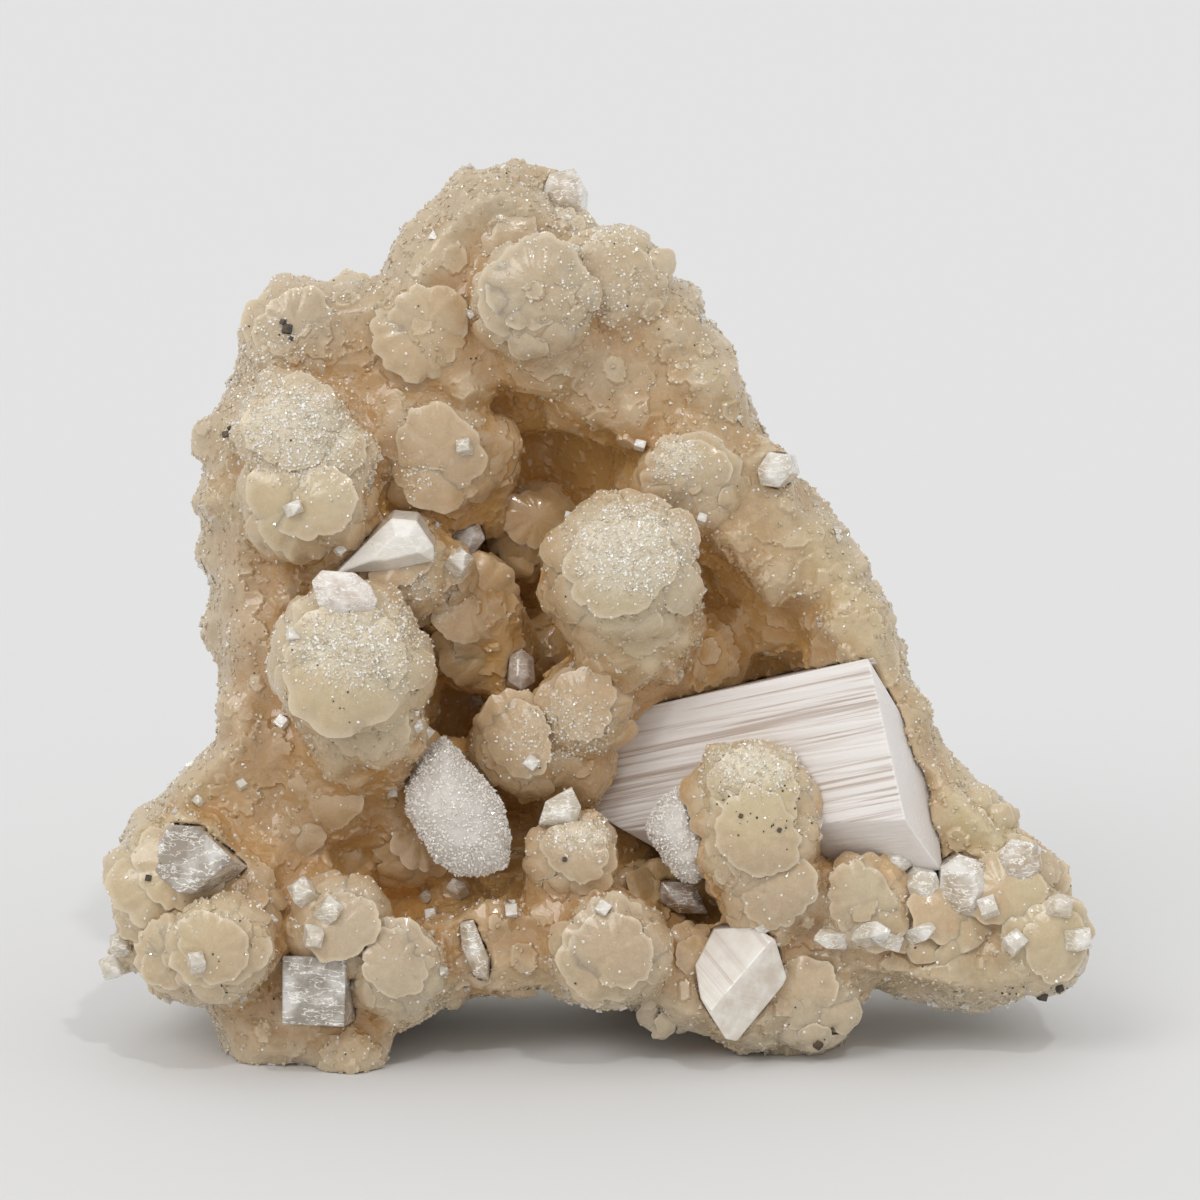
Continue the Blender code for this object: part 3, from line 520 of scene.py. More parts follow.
rosetteLook = {
    # plates of the crown, then the petals of the rings behind them: all in shares of the lump's radius
    "crowns": (
        {"out": 0.74, "rise": 0.05, "drop": 0.22, "lobes": (7, 11), "notch": 0.13, "steps": 60},
        {"out": 0.95, "rise": -0.08, "drop": 0.38, "lobes": (9, 13), "notch": 0.12, "steps": 60},
    ),
    "petal": {"drop": 0.34, "lobes": (4, 7), "notch": 0.20, "steps": 24},
    # out, behind, petal radius, lean outwards in degrees, count, sag
    "tiers": ((0.88, 0.40, 0.37, 40, 8, 0.03), (1.02, 0.80, 0.37, 62, 9, 0.10)),
    "smallLump": 4.4, "lip": 0.07, "root": 0.8, "buriedBy": 0.5 * mm,
    "rings": {60: (0.4, 0.7, 0.88, 1.0), 24: (0.62, 1.0)}, "under": ((0.985, 1, 1.0), (0.75, 2, 0.7)),
    "dome": 0.56, "spread": 0.7, "seed": 21, "roughness": 0.09 * mm, "roughSize": 0.5 * mm, "roughSeed": 31,
    "floorGap": 0.05 * mm, "smoothAngle": 50, "facingShare": 1.2,
    # how uneven a plate is: its lobes' places and shape, its outline, its doming
    "warp": (0.3, 0.16), "lobePower": 0.6, "oval": 0.09, "threefold": 0.05, "jitter": 0.02, "domePower": 2.2,
    # how the plates are scattered: tilt and shift on the crown; angle, distance, lean and size in the rings
    "tilt": 0.12, "aside": 0.05, "spacing": 0.25, "outSpread": (0.92, 1.08), "leanSpread": 12,
    "sizeSpread": (0.85, 1.2),
    # lumps on the face: right, up, into the hollow, radius
    "lumps": (
        # top
        (-16, 84, 0, 3.4), (-10, 83.5, -2, 5), (-3.5, 83.5, 0, 3.6), (-14.5, 80.5, -3, 3.6),
        # upper rosettes
        (-6.5, 77, -9.5, 5.7), (-5.2, 72.6, -6, 4.8), (-17.5, 74, -4, 5.4), (2, 79.2, -4.5, 5.2),
        (4.6, 75.8, -3, 3.6), (3.2, 71, 4.5, 4.8), (-30, 73.8, -2.5, 5.6), (-25, 76.2, -1, 3.6),
        (-33.7, 72, 0, 3.6), (-26.8, 69.8, 1.5, 3.8),
        # right rim
        (10, 71.4, -1.5, 4), (39.4, 23.8, 0, 3.4), (43.4, 19.6, 0, 3.4),
        # left wall
        (-30.6, 63.6, -8.5, 5.6), (-34.4, 64.4, -5.5, 3.4), (-26.2, 60.8, -8, 4.4),
        (-29, 56.8, -8.5, 6.2), (-36.4, 51.8, 0.5, 4.6), (-36.4, 45, 0.5, 4.4),
        (-32.6, 46.6, 2.5, 4.4), (-30, 50, 4, 3.6), (-34, 38.4, -0.5, 4.8), (-33.6, 31.2, -0.5, 5),
        (-25.6, 31.4, -4.5, 5.2), (-27.4, 27.2, -2, 5), (-21, 26.8, 0, 4.6), (-30.4, 23.8, -1, 4.6),
        (-36.6, 27.4, 0, 4), (-25, 21.2, 2.5, 3.6),
        # balls in the hollow
        (-16, 61.4, -3, 6), (-12, 61.8, -1, 4.4), (-13, 57, 2, 3.8), (-19.6, 51, -5, 4.4),
        (-16, 50, -3, 3.6), (-13, 46, 1.5, 5.4), (-11, 42, 4, 4.8), (-24.6, 41.4, -14, 7.4),
        (-23, 34.8, -10, 5.8), (2, 50.2, -11.5, 7.2), (3.4, 45.6, -7.5, 6.6), (4.6, 42.6, -1, 6),
        (9, 58.6, -5.5, 5.2), (11.6, 56.2, -2, 5), (5, 37.8, 3, 5), (10.6, 41.6, 4.5, 4.8),
        (-8, 32.4, -2, 5), (-1.6, 36.2, -4, 4.8), (-2.4, 30.4, 0, 4.2), (-6.4, 54.6, 8, 4.6),
        (18.8, 46.8, 3.5, 5.2), (23, 46.6, 0.5, 3.8), (25, 41.6, -1.5, 3.8), (15.6, 51, 2.5, 4),
        # lower left
        (-42, 20, -5.5, 6.2), (-45, 23, -1, 3.4), (-45.6, 15.6, -3.5, 3.6), (-37.4, 12.8, -11.5, 5),
        (-42, 11.4, -7.5, 4.6), (-36, 17.6, -6, 4.2), (-33.4, 4, -0.5, 4.4), (-36, 6, 0, 3.4),
        (-30, 5, -1, 3.4), (-25.6, 14.8, -8.5, 5), (-20.2, 10.4, -8, 4.6), (-31.8, 12.4, -3, 4.2),
        # lower edge
        (-14, 10.8, -2.5, 4), (-8, 11.2, -2, 3.8), (-3, 9.6, -2, 3.4), (1.2, 12.2, -8.5, 5.4),
        (8.4, 8, -2, 3.8), (-2.6, 22, -5.5, 4.4), (-4.2, 18.6, -3, 3.6), (5, 17.6, 3, 3.6),
        (10, 11, -2, 3.6), (20, 7.4, -2.5, 5),
        # ball on the large crystal
        (15.2, 27.2, -7, 6.4), (15.6, 23.6, -8, 6), (17.4, 18, -6, 5.2), (20, 15.4, -3, 4.8),
        # behind the left spindle
        (-16.5, 28, 2.5, 5), (-15, 24.5, 7, 5.4), (-18, 23, 2, 4.6),
        # lower right
        (26, 16.8, -5, 5), (36, 23.2, -1, 4.4), (40, 18.4, -2.5, 5.6), (34, 16.2, -3, 4.8),
        (44.6, 12.2, -4, 4.8), (38, 10.6, -1, 4.6), (32, 10.4, 0, 3.8),
    ),
}


def crownsOf(piece):
    # where each lump's crown lies and which way it faces
    tree = treeOf([vertex.co for vertex in piece.data.vertices])
    crowns = []
    for x, z, depth, radius in rosetteLook["lumps"]:
        crown = onFace(x, z, depth - rosetteLook["dome"] * radius)
        near = tree.find_range(crown, rosetteLook["spread"] * radius * mm)
        facing = -sight * max(1, len(near))
        for place, index, gap in near:
            facing += piece.data.vertices[index].normal * rosetteLook["facingShare"]
        crowns.append((crown, facing.normalized()))
    return crowns


def scallopedPlate(middle, facing, radius, look, chance):
    # one domed plate with a lobed edge that curls under: its points, faces and how near each is to the edge
    steps, drop, lip = look["steps"], look["drop"], rosetteLook["lip"]
    side = np.array(Vector(facing).orthogonal().normalized())
    across = np.cross(facing, side)
    angles = np.arange(steps) * 2 * math.pi / steps
    first, second, third = chance.uniform(0, 2 * math.pi, 3)
    once, twice = rosetteLook["warp"]
    oval, threefold = rosetteLook["oval"], rosetteLook["threefold"]
    warped = angles + once * np.sin(angles + first) + twice * np.sin(2 * angles + second)
    lobes = np.abs(np.sin(chance.integers(*look["lobes"]) * warped / 2 + third)) ** rosetteLook["lobePower"]
    outline = 1 - look["notch"] * (1 - lobes)
    outline = outline * (1 + oval * np.sin(2 * angles + third) + threefold * np.sin(3 * angles + first))
    outline = outline * (1 + rosetteLook["jitter"] * chance.uniform(-1, 1, steps))
    doming = rosetteLook["domePower"]
    rows = [(share, -drop * share ** doming, share) for share in rosetteLook["rings"][steps]]
    rows += [(share, -drop - lips * lip, edge) for share, lips, edge in rosetteLook["under"]]
    points, petal = [middle], [0.0]
    for share, height, edge in rows:
        out = (outline * share * radius)[:, None]
        ring = middle + out * (np.cos(angles)[:, None] * side + np.sin(angles)[:, None] * across)
        points += list(ring + facing * height * radius)
        petal += [edge] * steps
    points.append(middle - facing * (drop + rosetteLook["root"]) * radius)
    petal.append(0.5)
    faces = [(0, 1 + k, 1 + (k + 1) % steps) for k in range(steps)]
    for row in range(len(rows) - 1):
        low, high = 1 + row * steps, 1 + (row + 1) * steps
        faces += [(low + k, high + k, high + (k + 1) % steps, low + (k + 1) % steps) for k in range(steps)]
    faces += [(high + k, len(points) - 1, high + (k + 1) % steps) for k in range(steps)]
    return points, faces, petal


def crownPlates(crown, facing, radius, chance):
    # the plates stacked on a lump's crown
    made = []
    for look in rosetteLook["crowns"]:
        tilted = facing + chance.normal(scale=rosetteLook["tilt"], size=3)
        tilted /= np.linalg.norm(tilted)
        aside = chance.normal(scale=rosetteLook["aside"], size=3) * radius
        middle = crown + aside + facing * look["rise"] * radius
        made.append(scallopedPlate(middle, tilted, look["out"] * radius, look, chance))
    return made


def petalPlates(crown, facing, radius, chance):
    # the rings of petals behind the crown
    side = np.array(Vector(facing).orthogonal().normalized())
    across = np.cross(facing, side)
    fewer = 2 if radius < rosetteLook["smallLump"] * mm else 0
    spacing, leanSpread = rosetteLook["spacing"], rosetteLook["leanSpread"]
    made = []
    for out, behind, size, lean, count, sag in rosetteLook["tiers"]:
        start = chance.uniform(0, 2 * math.pi)
        for k in range(count - fewer):
            angle = start + 2 * math.pi * (k + chance.uniform(-spacing, spacing)) / (count - fewer)
            away = math.cos(angle) * side + math.sin(angle) * across
            outwards = away * out * chance.uniform(*rosetteLook["outSpread"])
            middle = crown + (outwards - facing * behind) * radius
            middle[2] -= sag * radius
            turn = math.radians(lean + chance.uniform(-leanSpread, leanSpread))
            turned = facing * math.cos(turn) + away * math.sin(turn)
            reach = size * radius * chance.uniform(*rosetteLook["sizeSpread"])
            made.append(scallopedPlate(middle, turned, reach, rosetteLook["petal"], chance))
    return made


def meshPiece(name, points, faces):
    mesh = bpy.data.meshes.new(name)
    mesh.from_pydata([tuple(point) for point in points], [], [tuple(face) for face in faces])
    return placed(name, mesh)


def isBuried(tree, spot):
    # whether a point lies well inside the crust
    place, normal, index, gap = tree.find_nearest(Vector(spot))
    return (Vector(spot) - place).dot(normal) < -rosetteLook["buriedBy"]


def rosettePiece(name, crowns, platesOf, coarse):
    # the scalloped plates of every lump on the face, joined in one piece, without those inside the crust
    tree = BVHTree.FromObject(coarse, bpy.context.evaluated_depsgraph_get())
    chance = np.random.default_rng(rosetteLook["seed"])
    points, faces, petal = [], [], []
    for (crown, facing), (x, z, depth, radius) in zip(crowns, rosetteLook["lumps"]):
        plates = platesOf(np.array(crown), np.array(facing), radius * mm, chance)
        for plate in [plate for plate in plates if not isBuried(tree, plate[0][0])]:
            faces += [tuple(k + len(points) for k in face) for face in plate[1]]
            points += plate[0]
            petal += plate[2]
    points = np.array(points)
    size, seed = rosetteLook["roughSize"], rosetteLook["roughSeed"]
    rough = np.stack([wobble(points, size, seed + axis) for axis in range(3)], axis=1)
    points += rosetteLook["roughness"] * rough
    points[:, 2] = np.maximum(points[:, 2], rosetteLook["floorGap"])
    piece = meshPiece(name, points, faces)
    addAttribute(piece, "petal", petal)
    inEditMode(piece, bpy.ops.mesh.normals_make_consistent, inside=False)
    bpy.ops.object.shade_smooth_by_angle(angle=math.radians(rosetteLook["smoothAngle"]))
    print(name, sum(len(face.vertices) - 2 for face in piece.data.polygons))
    return piece


def drusePaint():
    # cream and grey druse, with painted shade: amber where it is closed in, and a brighter amber glow painted
    # into the deepest hollows; paler on rims and petal edges, a painted highlight; a whiter sugar tone on the
    # frost patches, partly painted sparkle; rock on the back
    paint = Paint("creamDruse")
    recess = paint.attribute("recess")
    # where the amber painted shade goes: closed-in places, a little uneven
    deep = paint.ramp(recess + (paint.noise(0.12, 2) - 0.5) * 0.3, 0.10, 0.48)
    mottle = paint.ramp(paint.noise(0.9, 4, 0.7), 0.45, 0.75)
    # the frost patches: sugary druse, whitened partly as painted sparkle on the lit tops
    sugar = paint.ramp(paint.attribute("frost") + (paint.noise(2.4, 3, 0.7) - 0.5) * 2.2, 0.25, 0.85)
    broken = paint.attribute("behind") * paint.ramp(paint.noise(0.11, 4, 0.6), 0.40, 0.60)
    color = crustLook["cream"]
    for share, shade in (
        (paint.ramp(paint.noise(0.07, 3, 0.6), 0.42, 0.62), "grey"),
        (paint.attribute("yellow") * 0.7, "yellow"),
        (paint.attribute("tan") * 0.75, "tan"),
        (paint.attribute("outer") * 0.75, "outer"),
        # painted shade: amber in closed-in places
        (deep, "amber"),
        # painted glow: a brighter amber that lifts the shade of the deepest hollows
        (paint.ramp(recess, 0.55, 0.85), "deepest"),
        (mottle * 0.35 * (1 - 0.5 * deep), "pale"),
        # painted highlight: paler on rims
        (paint.ramp(paint.attribute("rim"), 0.55, 1.0) * 0.3, "pale"),
        # painted highlight: paler along petal edges
        (paint.ramp(paint.attribute("petal"), 0.88, 1.0) * 0.75 * (1 - 0.6 * deep), "pale"),
        # partly painted sparkle: the whiter sugar tone of the frost patches
        (sugar * 0.7, "sugar"),
        (broken * 0.8, "rock"),
        (broken * paint.ramp(paint.noise(0.25, 5, 0.7), 0.54, 0.60), "basalt"),
    ):
        color = paint.mixed(share, color, crustLook[shade])
    normal = paint.bump(paint.noise(1.1, 3, 0.6), 0.25, 0.2 * mm)
    normal = paint.bump(paint.cells(3.2), 0.12 + 0.6 * sugar, 0.12 * mm, normal)
    roughness = 0.10 + 0.30 * paint.noise(1.6, 2)
    return paint.done(paint.finish(
        baseColor=color, roughness=roughness, normal=normal, ior=1.56, coatWeight=0.25, coatRoughness=0.05,
        subsurfaceWeight=0.4, subsurfaceRadius=(1.0, 0.92, 0.80), subsurfaceScale=0.8 * mm,
    ))


grainShape = {
    # how far a grain stands out and in, the open sides, the closed-in places and how much less they get
    "above": 0.6, "below": 0.4, "open": (0.92, -0.4), "close": (0.3, 0.25), "closeShare": 0.9,
    "rimWidth": 0.35, "floorGap": 0.02 * mm,
}
grainLook = {
    "crust": {
        "count": 24000, "sizes": (0.25 * mm, 0.75 * mm), "tall": (0.4, 0.9), "lean": 0.4, "seed": 7,
        "base": 0.25, "edge": 1.0,
    },
    "sugar": {
        "count": 24000, "sizes": (0.18 * mm, 0.44 * mm), "tall": (0.8, 1.5), "lean": 0.6, "seed": 8,
        "base": 0.02, "up": 0.12, "patches": faceShades["frost"],
    },
    "rim": {
        "count": 1000, "sizes": (0.6 * mm, 1.7 * mm), "tall": (0.5, 0.9), "lean": 0.5, "seed": 12,
        "edge": 1.0,
    },
    "glints": {
        "count": 1100, "sizes": (0.16 * mm, 0.42 * mm), "tall": (0.5, 1.2), "lean": 0.7, "seed": 9,
        "base": 0.35, "up": 0.4,
    },
    "specks": {
        "count": 620, "sizes": (0.10 * mm, 0.32 * mm), "tall": (0.8, 1.2), "lean": 0.5, "seed": 10,
        "base": 0.25,
        # clusters of dark grains: middle and half size in photograph pixels, share
        "patches": (
            (760, 805, 44, 34, 22), (1030, 992, 34, 12, 14), (205, 873, 14, 10, 12), (290, 335, 8, 9, 30),
            (229, 435, 8, 10, 30), (120, 962, 20, 14, 12), (565, 855, 8, 8, 16), (817, 1042, 14, 6, 14),
            (500, 960, 60, 20, 1.5), (640, 600, 40, 20, 1.5), (195, 405, 8, 10, 30), (360, 700, 60, 30, 1.2),
        ),
    },
    "frost": {
        "count": 5000, "sizes": (0.15 * mm, 0.38 * mm), "tall": (0.8, 1.5), "lean": 0.5, "seed": 11,
        "base": 1.0,
    },
}


def trianglesOf(pieces):
    # the corners, outward directions, areas and closeness of all triangles of some pieces
    corners, closeness = [], []
    for piece in pieces:
        mesh = piece.data
        mesh.calc_loop_triangles()
        order = np.empty(len(mesh.loop_triangles) * 3, dtype=np.int32)
        mesh.loop_triangles.foreach_get("vertices", order)
        corners.append(readVectors(mesh.vertices, "co")[order.reshape(-1, 3)])
        recess = np.zeros(len(mesh.vertices), dtype=np.float32)
        if "recess" in mesh.attributes:
            mesh.attributes["recess"].data.foreach_get("value", recess)
        closeness.append(recess[order.reshape(-1, 3)].mean(axis=1))
    corners, closeness = np.concatenate(corners), np.concatenate(closeness)
    out = np.cross(corners[:, 1] - corners[:, 0], corners[:, 2] - corners[:, 0])
    area = np.linalg.norm(out, axis=1) + 1e-15
    return corners, out / area[:, None], area, closeness


def grainsOn(surface, name, count, sizes, tall, lean, seed, base=0.0, up=0.0, edge=0.0, patches=()):
    # small eight-sided crystals standing on a surface, joined in one mesh
    chance = np.random.default_rng(seed)
    corners, out, area, closeness = surface
    close = grainShape["closeShare"] * ramped(closeness, *grainShape["close"])
    openSide = ramped(out[:, 1], *grainShape["open"]) * (1 - close)
    rim = edge * np.exp(-((out @ np.array(sight)) / grainShape["rimWidth"]) ** 2)
    there = patchesAt(corners.mean(axis=1), out, patches)
    weight = area * openSide * (base + up * np.clip(out[:, 2], 0, 1) ** 2 + rim + there)
    chosen = chance.choice(len(area), size=count, p=weight / weight.sum())
    first, second = chance.uniform(size=(2, count, 1))
    flip = first + second > 1
    first, second = np.where(flip, 1 - first, first), np.where(flip, 1 - second, second)
    a, b, c = corners[chosen].transpose(1, 0, 2)
    middles = a + (b - a) * first + (c - a) * second
    rise = out[chosen] + chance.normal(scale=lean, size=(count, 3))
    rise /= np.linalg.norm(rise, axis=1)[:, None]
    side = np.cross(rise, chance.normal(size=(count, 3)))
    side /= np.linalg.norm(side, axis=1)[:, None]
    across = np.cross(rise, side)
    size = chance.uniform(sizes[0], sizes[1], (count, 1))
    height = size * chance.uniform(*tall, (count, 1))
    points = np.stack([
        middles + side * size / 2, middles + across * size / 2, middles - side * size / 2,
        middles - across * size / 2, middles + rise * height * grainShape["above"],
        middles - rise * height * grainShape["below"],
    ], axis=1).reshape(-1, 3)
    faces = []
    for k in range(4):
        faces += [(k, (k + 1) % 4, 4), ((k + 1) % 4, k, 5)]
    faces = (np.array(faces)[None] + 6 * np.arange(count)[:, None, None]).reshape(-1, 3)
    points[:, 2] = np.maximum(points[:, 2], grainShape["floorGap"])
    return meshPiece(name, points, faces)


coarse = copyOfNode("druse_crust", "coarse")
shares = closedIn(coarse)
crowns = crownsOf(coarse)
rosettes = rosettesOn(coarse, shares, crowns)
print("rosettes", len(rosettes))
crustFront = crustHalf("crust_front", crustLook["fineVoxel"], True, rosettes)
crustBack = crustHalf("crust_back", crustLook["backVoxel"], False, rosettes)
crownPiece = rosettePiece("rosette_crowns", crowns, crownPlates, coarse)
petalPiece = rosettePiece("rosette_petals", crowns, petalPlates, coarse)
for piece in (crustFront, crustBack, crownPiece, petalPiece):
    shadePoints(piece, coarse, shares)
crustSurface = trianglesOf([crustFront, crownPiece, petalPiece])
grainPiece = grainsOn(trianglesOf([crustFront, crustBack]), "crust_grains", **grainLook["crust"])
shadePoints(grainPiece, coarse, shares, True)
druse = drusePaint()
for piece in (crustFront, crustBack, crownPiece, petalPiece, grainPiece):
    finished(piece, druse, "druse", "druse_crust")
bpy.data.objects.remove(coarse)

print("crystals")
crystalLook = {
    "bevel": 0.11 * mm, "overgrown": 0.25 * mm, "ior": 1.535,
    # the edge colour is a painted highlight for crystal bevels
    "white": (0.90, 0.87, 0.82, 1), "edge": (0.96, 0.95, 0.93, 1),
    # tint, share of milk, share of veils
    "kinds": {
        "clear": ((0.62, 0.55, 0.46, 1), 0.42, 0.28),
        "bright": ((0.95, 0.90, 0.82, 1), 0.82, 0.15),
        "glassy": ((0.86, 0.77, 0.62, 1), 0.62, 0.25),
        "pale": ((0.70, 0.58, 0.43, 1), 0.60, 0.25),
        "pink": ((0.72, 0.60, 0.50, 1), 0.80, 0.15),
        "lilac": ((0.72, 0.63, 0.58, 1), 0.75, 0.15),
        "brown": ((0.58, 0.40, 0.26, 1), 0.55, 0.25),
        "rim": ((0.62, 0.51, 0.36, 1), 0.70, 0.15),
    },
    "kindOf": {
        "pink_block": "pink", "hexagonal_crystal": "lilac", "upright_crystal": "pink", "amber_plate": "brown",
        "clear_blade": "bright", "pointed_plate": "glassy", "glassy_crystal_left": "glassy",
        "glassy_crystal_right": "glassy", "flashing_crystal": "glassy", "pale_block_left": "pale",
        "pale_block_right": "pale", "top_plate": "pale", "slender_crystal": "pale",
    },
}
satinLook = {"drawnOut": 0.985, "fade": 30, "masked": (0.72, 0.86), "margin": 0.3 * mm}
prismLook = {
    "along": (0.884, -0.375, 0.281), "across": (0.144, -0.238, -0.960), "lines": 2.4, "bands": 0.55,
    "front": (-0.427, -0.889, 0.156), "grooves": 58, "grooveGap": (0.16 * mm, 0.42 * mm),
    "grooveDepth": 0.10 * mm, "seed": 4, "white": (0.84, 0.80, 0.77, 1), "shade": (0.56, 0.47, 0.41, 1),
    "brown": (0.56, 0.38, 0.25, 1), "shown": 0.75, "plain": (0.80, 0.77, 0.75, 1), "sheets": False,
}
blockLook = {
    "along": (0.883, -0.098, -0.459), "across": (0.459, -0.10, 0.883), "lines": 1.3, "bands": 0.4,
    "front": (-0.4, -0.9, 0.2), "grooves": 9, "grooveGap": (0.5 * mm, 1.3 * mm),
    "grooveDepth": 0.30 * mm, "seed": 6, "white": (0.88, 0.85, 0.80, 1), "shade": (0.58, 0.50, 0.42, 1),
    # plain is the colour of the faces other than the striated one: darker than its white, partly painted
    # shade on faces turned from the light
    "brown": (0.70, 0.60, 0.50, 1), "shown": 0.2, "plain": (0.66, 0.58, 0.48, 1), "sheets": True,
}


def crystalPaint(name, tint, milk, veil):
    # clear crystal with white wisps along its cleavage and cloudy patches
    paint = Paint(name)
    mottle = paint.ramp(paint.noise(0.38, 4, 0.6), 0.42, 0.66)
    drawn = paint.stretched((1.0, 1.0, 3.0), (0.3, 0.5, 0.2))
    wisps = paint.ramp((paint.noise(0.42, 4, 0.6, drawn) - 0.5).size(), 0.022, 0)
    glass = paint.finish(baseColor=tint, roughness=0.03, ior=crystalLook["ior"], transmissionWeight=1.0)
    color = paint.mixed((mottle + wisps).least(1.0), tint, crystalLook["white"])
    normal = paint.bump(paint.noise(1.2, 3, 0.6, drawn), 0.3, 0.1 * mm)
    cloud = paint.finish(
        baseColor=color, roughness=0.15, normal=normal, ior=crystalLook["ior"], coatWeight=0.5,
        subsurfaceWeight=0.4, subsurfaceRadius=(1.0, 0.97, 0.92), subsurfaceScale=0.8 * mm,
    )
    share = (milk + veil * mottle + 0.5 * wisps).least(1.0)
    return paint.done(paint.add("ShaderNodeMixShader", None, {0: share, 1: glass, 2: cloud}))


def edgeHighlightPaint():
    # painted highlight: the bevels are painted near white for the light they catch
    paint = Paint("paintedEdgeHighlight")
    color = paint.mixed(paint.noise(0.8, 2), crystalLook["edge"], crystalLook["white"])
    return paint.done(paint.finish(baseColor=color, roughness=0.2, ior=crystalLook["ior"]))


def satinPaint(name, look):
    # fine lines along one direction, whiter at the right and browner where the crust shows through
    paint = Paint(name)
    spot = paint.place()
    along, across = look["along"], look["across"]
    dot = paint.vectors("DOT_PRODUCT", spot, along, "Value")
    if look["sheets"]:
        # the same lines on every face, as the edges of layers
        drawn = paint.vectors("SCALE", across, paint.vectors("DOT_PRODUCT", spot, across, "Value"))
    else:
        length = paint.vectors("SCALE", along, dot * -satinLook["drawnOut"])
        drawn = paint.vectors("ADD", spot, length)
    lines = paint.noise(look["lines"], 3, 0.6, drawn)
    bands = paint.noise(look["bands"], 2, 0.5, drawn)
    patches = paint.noise(0.16, 3, 0.6)
    faded = patches - dot * satinLook["fade"]
    brown = paint.ramp(faded + (lines - 0.5) * 1.4 + (bands - 0.5), 0.45, 0.95)
    dark = paint.ramp(lines + 0.4 * (bands - 0.5), 0.52, 0.38)
    outward = paint.add("ShaderNodeNewGeometry", None, None, "True Normal")
    facing = paint.vectors("DOT_PRODUCT", outward, look["front"], "Value")
    # the face turned towards the front direction takes the striations and the white; the other faces take the
    # plain colour, which on the block is partly painted shade
    striated = paint.ramp(facing, *satinLook["masked"])
    plain = paint.mixed(paint.ramp(paint.noise(0.5, 4, 0.6), 0.35, 0.7), look["plain"], look["white"])
    color = paint.mixed(striated, plain, paint.mixed(dark, look["white"], look["shade"]))
    color = paint.mixed(brown * look["shown"], color, look["brown"])
    normal = paint.bump(lines, 0.6, 0.2 * mm)
    return paint.done(paint.finish(
        baseColor=color, roughness=0.28, normal=normal, ior=crystalLook["ior"],
        subsurfaceWeight=0.35, subsurfaceRadius=(1.0, 0.9, 0.85), subsurfaceScale=1.2 * mm,
    ))


whiteLook = {"warm": (0.70, 0.65, 0.57, 1), "cool": (0.60, 0.56, 0.54, 1)}


def whitePaint():
    # the fine white druse of the spindles
    paint = Paint("whiteDruse")
    color = paint.mixed(paint.noise(0.2, 3), whiteLook["warm"], whiteLook["cool"])
    normal = paint.bump(paint.cells(2.4), 0.5, 0.12 * mm)
    return paint.done(paint.finish(
        baseColor=color, roughness=0.3, normal=normal, ior=1.53,
        subsurfaceWeight=0.5, subsurfaceRadius=(1.0, 0.95, 0.9), subsurfaceScale=1.2 * mm,
    ))


def crystalFrom(name):
    # the crystal's own flat faces, a little over its socket's gap, with narrow bevels that take a painted
    # highlight
    crystal = copyOfNode(name, name + "_faces")
    inEditMode(crystal, bpy.ops.mesh.dissolve_limited, angle_limit=math.radians(1))
    inEditMode(crystal, bpy.ops.transform.shrink_fatten, value=crystalLook["overgrown"], use_even_offset=True)
    applied(crystal, "BEVEL", width=crystalLook["bevel"], segments=1, limit_method="ANGLE", material=1)
    return crystal


def addGrooves(piece, look):
    # cuts uneven lines across a crystal's faces and sinks those of its front face
    chance = random.Random(look["seed"])
    across = Vector(look["across"]).normalized()
    lows = [vertex.co.dot(across) for vertex in piece.data.vertices]
    place = min(lows) + satinLook["margin"]
    pick(piece)
    bpy.ops.object.mode_set(mode="EDIT")
    lines = []
    while place < max(lows) - satinLook["margin"] and len(lines) < look["grooves"]:
        bpy.ops.mesh.select_all(action="SELECT")
        bpy.ops.mesh.bisect(plane_co=across * place, plane_no=across, threshold=1e-7)
        lines.append((place, chance.uniform(0, 1) ** 2 * look["grooveDepth"]))
        place += chance.uniform(*look["grooveGap"])
    bpy.ops.object.mode_set(mode="OBJECT")
    places = np.array([line[0] for line in lines])
    depths = np.array([line[1] for line in lines])
    spots = readVectors(piece.data.vertices, "co")
    normals = readVectors(piece.data.vertices, "normal")
    dots = spots @ np.array(across)
    nearest = np.abs(dots[:, None] - places[None]).argmin(axis=1)
    on = (np.abs(dots - places[nearest]) < 1e-6) & (normals @ np.array(look["front"]) > 0.8)
    spots -= normals * (depths[nearest] * on)[:, None]
    writeSpots(piece, spots)


kinds = {kind: crystalPaint(kind + "Crystal", *look) for kind, look in crystalLook["kinds"].items()}
satin = {
    "large_prism": (satinPaint("striatedPrism", prismLook), prismLook),
    "striated_block": (satinPaint("striatedBlock", blockLook), blockLook),
}
paintedEdgeHighlight = edgeHighlightPaint()
whiteDruse = whitePaint()
spindleLook = {
    "voxel": 0.3 * mm, "smoothing": 0.5, "passes": 6, "bumps": 1.3 * mm, "middle": 0.45, "height": -0.35 * mm,
}
spindles = []
# the bevels of each crystal take its second material, a painted highlight
for part in record["subparts"]:
    name, slot = part["node"], part["material_slot"]
    if name.endswith("_spindle"):
        spindle = copyOfNode(name, name + "_druse")
        applied(spindle, "REMESH", mode="VOXEL", voxel_size=spindleLook["voxel"])
        applied(spindle, "SMOOTH", factor=spindleLook["smoothing"], iterations=spindleLook["passes"])
        applied(
            spindle, "DISPLACE", texture=cellTexture("bumps", spindleLook["bumps"]), texture_coords="LOCAL",
            mid_level=spindleLook["middle"], strength=spindleLook["height"],
        )
        finished(spindle, whiteDruse, slot, name)
        spindles.append(spindle)
    elif name in satin:
        crystal = crystalFrom(name)
        addGrooves(crystal, satin[name][1])
        finished(crystal, satin[name][0], slot, name)
        crystal.data.materials.append(paintedEdgeHighlight)
    elif name != "druse_crust":
        crystal = crystalFrom(name)
        finished(crystal, kinds[crystalLook["kindOf"].get(name, "clear")], slot, name)
        crystal.data.materials.append(paintedEdgeHighlight)

